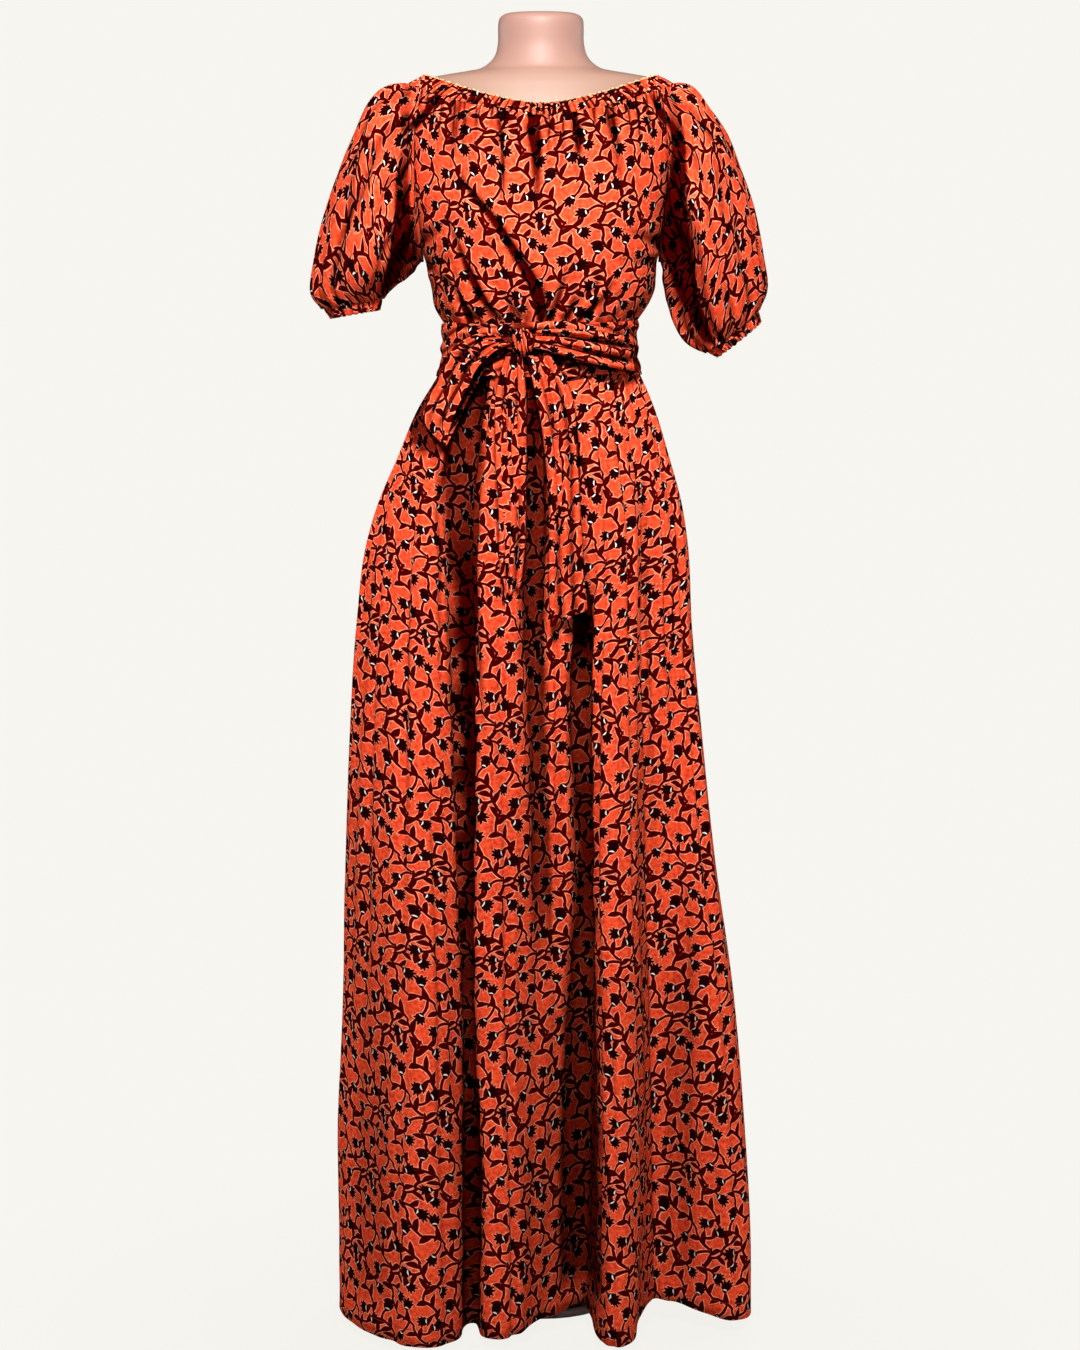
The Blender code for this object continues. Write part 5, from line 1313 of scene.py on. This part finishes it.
def sashTail(hand):
    table, seed = sash[hand + "Tail"], 0.4 if hand == "right" else 2.0
    across, down = spread(-1, 1, sash["tailColumns"], sash["tailRows"])
    z = table[0][0] + (table[-1][0] - table[0][0]) * down
    left, right = smooth(table, 1, z), smooth(table, 2, z)
    pleat = sash["tailPleat"] * np.cos(2.5 * np.pi * (across + 0.06 * np.sin(6 * down + seed)))
    pleat *= np.clip(down / 0.2, 0.3, 1)
    fine = sash["tailFinePleat"] * np.cos(6.6 * np.pi * across + 1.6 * np.sin(5 * down + seed))
    pleat += fine * bell(down / 0.45)
    x = (left + right) / 2 + across * (right - left) / 2
    x += 0.0012 * np.sin(11 * down + seed) * (1 - np.abs(across))
    points = np.stack([x, smooth(table, 3, z) - pleat, z + sash["tailSlant"] * across * down], axis=-1)
    # painted shade in the pleat troughs
    shade = np.clip(-pleat / sash["tailShade"], 0, 0.75)
    if hand == "left":  # painted shade of a sharp pleat beside its outer edge; the pleat itself is not shaped
        pleatX, lean, topZ, half = sash["sharpPleatShade"]
        away = np.abs(x - pleatX - lean * (topZ - z) * down)
        shade = np.maximum(shade, np.clip(1.9 - away / half, 0, 1))
    return points, {"paintedShade": np.clip(shade, 0, 1)}


def sashKnot():
    bpy.ops.object.select_all(action="DESELECT")
    bpy.ops.mesh.primitive_uv_sphere_add(segments=120, ring_count=80, radius=1)
    knot, ball = startPiece("sashKnot")
    a, b, c = ball.T.astype(float)
    # a pleated band wraps over the sash from top to bottom, so its pleats run up and down
    side = a + sash["knotLean"] * c
    (broad, fine), (drawn, reach), (deep, low) = sash["knotPleats"], sash["knotWaist"], sash["knotShade"]
    pleats = broad * np.cos(19 * side + 1.3 * np.sin(2.2 * c)) + fine * np.cos(31 * side - c)
    waist = 1 - drawn * bell(c / reach)
    grow = 1 + pleats * (1 - side ** 2).clip(0, 1)
    half = sash["knotHalf"]
    places = np.stack([half[0] * a * waist * 0.98, half[1] * b * grow, half[2] * c * grow], axis=-1)
    # painted shade in the pleat troughs, and darker on the knot's lower side
    shade = np.clip(-pleats / deep, 0, 0.9) + np.clip(-c - low, 0, 0.6)
    shapeMesh(knot.data, places + np.array(sash["knotCentre"]), half[0] * side * 1.6 + 0.31,
              half[2] * np.arcsin(np.clip(c, -1, 1)) + 0.08, {"paintedShade": np.clip(shade, 0, 1)})
    bpy.ops.object.shade_smooth()
    knot.data.materials.append(waxPrintCotton)
    standsFor(knot, "sash_knot")
    return knot


knotPiece = sashKnot()
points, marks = sashWrap()
wrapPiece = gridPiece("sashWrap", points, waxPrintCotton, (0.05, 0.55), closed=True, marks=marks)
dressPiece(wrapPiece, "sash_wrap")
for hand, printAt, loopLength, tailLength in (
        ("right", (0.12, 0.61), 0.22, 0.28), ("left", (0.47, 0.66), 0.20, 0.31)):
    points, marks = bowLoop(hand)
    loop = gridPiece("bowLoop" + hand.title(), points, waxPrintCotton, printAt, marks=marks)
    dressPiece(loop, "bow_loop_" + hand)
    points, marks = sashTail(hand)
    tailPiece = gridPiece(
        "sashTail" + hand.title(), points, waxPrintCotton, (printAt[0] + 0.2, printAt[1]), marks=marks)
    dressPiece(tailPiece, "sash_tail_" + hand)
print("sash tied")

# form, pole and base
mouldedSkin = {
    "tones": [(0.350, 0.194, 0.160), (0.395, 0.225, 0.187)], "toneScale": 9.0,
    "chest": (0.320, 0.192, 0.142), "chestFrom": (1.466, 1.500),  # the chest is a warmer tan than the neck, blending between these heights
    "grain": (160.0, 5.0), "roughness": (0.16, 0.45), "bump": (0.08, 0.0006),
}
powderCoat = {
    "tones": [(0.86, 0.85, 0.82), (0.78, 0.765, 0.73)], "toneScale": 14.0,
    "grain": (900.0, 2.0), "roughness": (0.18, 0.36), "bump": (0.25, 0.0002),
}


def makeHardFinish(name, finish):
    material, tree, shader = newMaterial(name)
    place = newNode(tree, "TexCoord").outputs["Object"]
    colour = mixColour(tree, noise(tree, place, finish["toneScale"], 4.0)["Fac"], *finish["tones"])
    if "chest" in finish:
        height = newNode(tree, "SeparateXYZ", Vector=place).outputs[2]
        colour = mixColour(tree, ramp(tree, height, *finish["chestFrom"]), colour, finish["chest"])
    grain = noise(tree, place, *finish["grain"])["Fac"]
    feed(tree, shader["Base Color"], colour)
    feed(tree, shader["Roughness"], maths(tree, "MULTIPLY_ADD", grain, *finish["roughness"]))
    feed(tree, shader["Normal"], bump(tree, grain, *finish["bump"]))
    return material


def buildForm():
    sections = formShape["sections"]
    indexed = [(key, *row) for key, row in enumerate(sections)]
    at, turn = np.meshgrid(np.linspace(0, len(sections) - 1, formShape["rings"]),
                           np.linspace(0, 2 * np.pi, formShape["columns"] + 1), indexing="ij")
    z, half = smooth(indexed, 1, at), smooth(indexed, 2, at)
    deep = np.where(np.cos(turn) > 0, smooth(indexed, 3, at), smooth(indexed, 4, at))
    points = np.stack([half * np.sin(turn), -deep * np.cos(turn), z], axis=-1)
    points[:, -1] = points[:, 0]
    # flat lids go in by steps to the middle, so the shell is closed
    top, bottom = (
        np.array([points[end] * [1 - k, 1 - k, 1] for k in formShape["lidSteps"]]) for end in (0, -1))
    points = np.concatenate([top[::-1], points, bottom])
    form = gridPiece("formShell", points, makeHardFinish("mouldedSkin", mouldedSkin), closed=True, wall=0)
    standsFor(form, "form_body")


buildForm()
whitePowderCoat = makeHardFinish("whitePowderCoat", powderCoat)
for name in ("stand_pole", "stand_base"):
    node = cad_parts[name]
    if not node.material_slots:
        node.data.materials.append(whitePowderCoat)
    for slot in node.material_slots:
        slot.material = whitePowderCoat
print("form and stand finished")
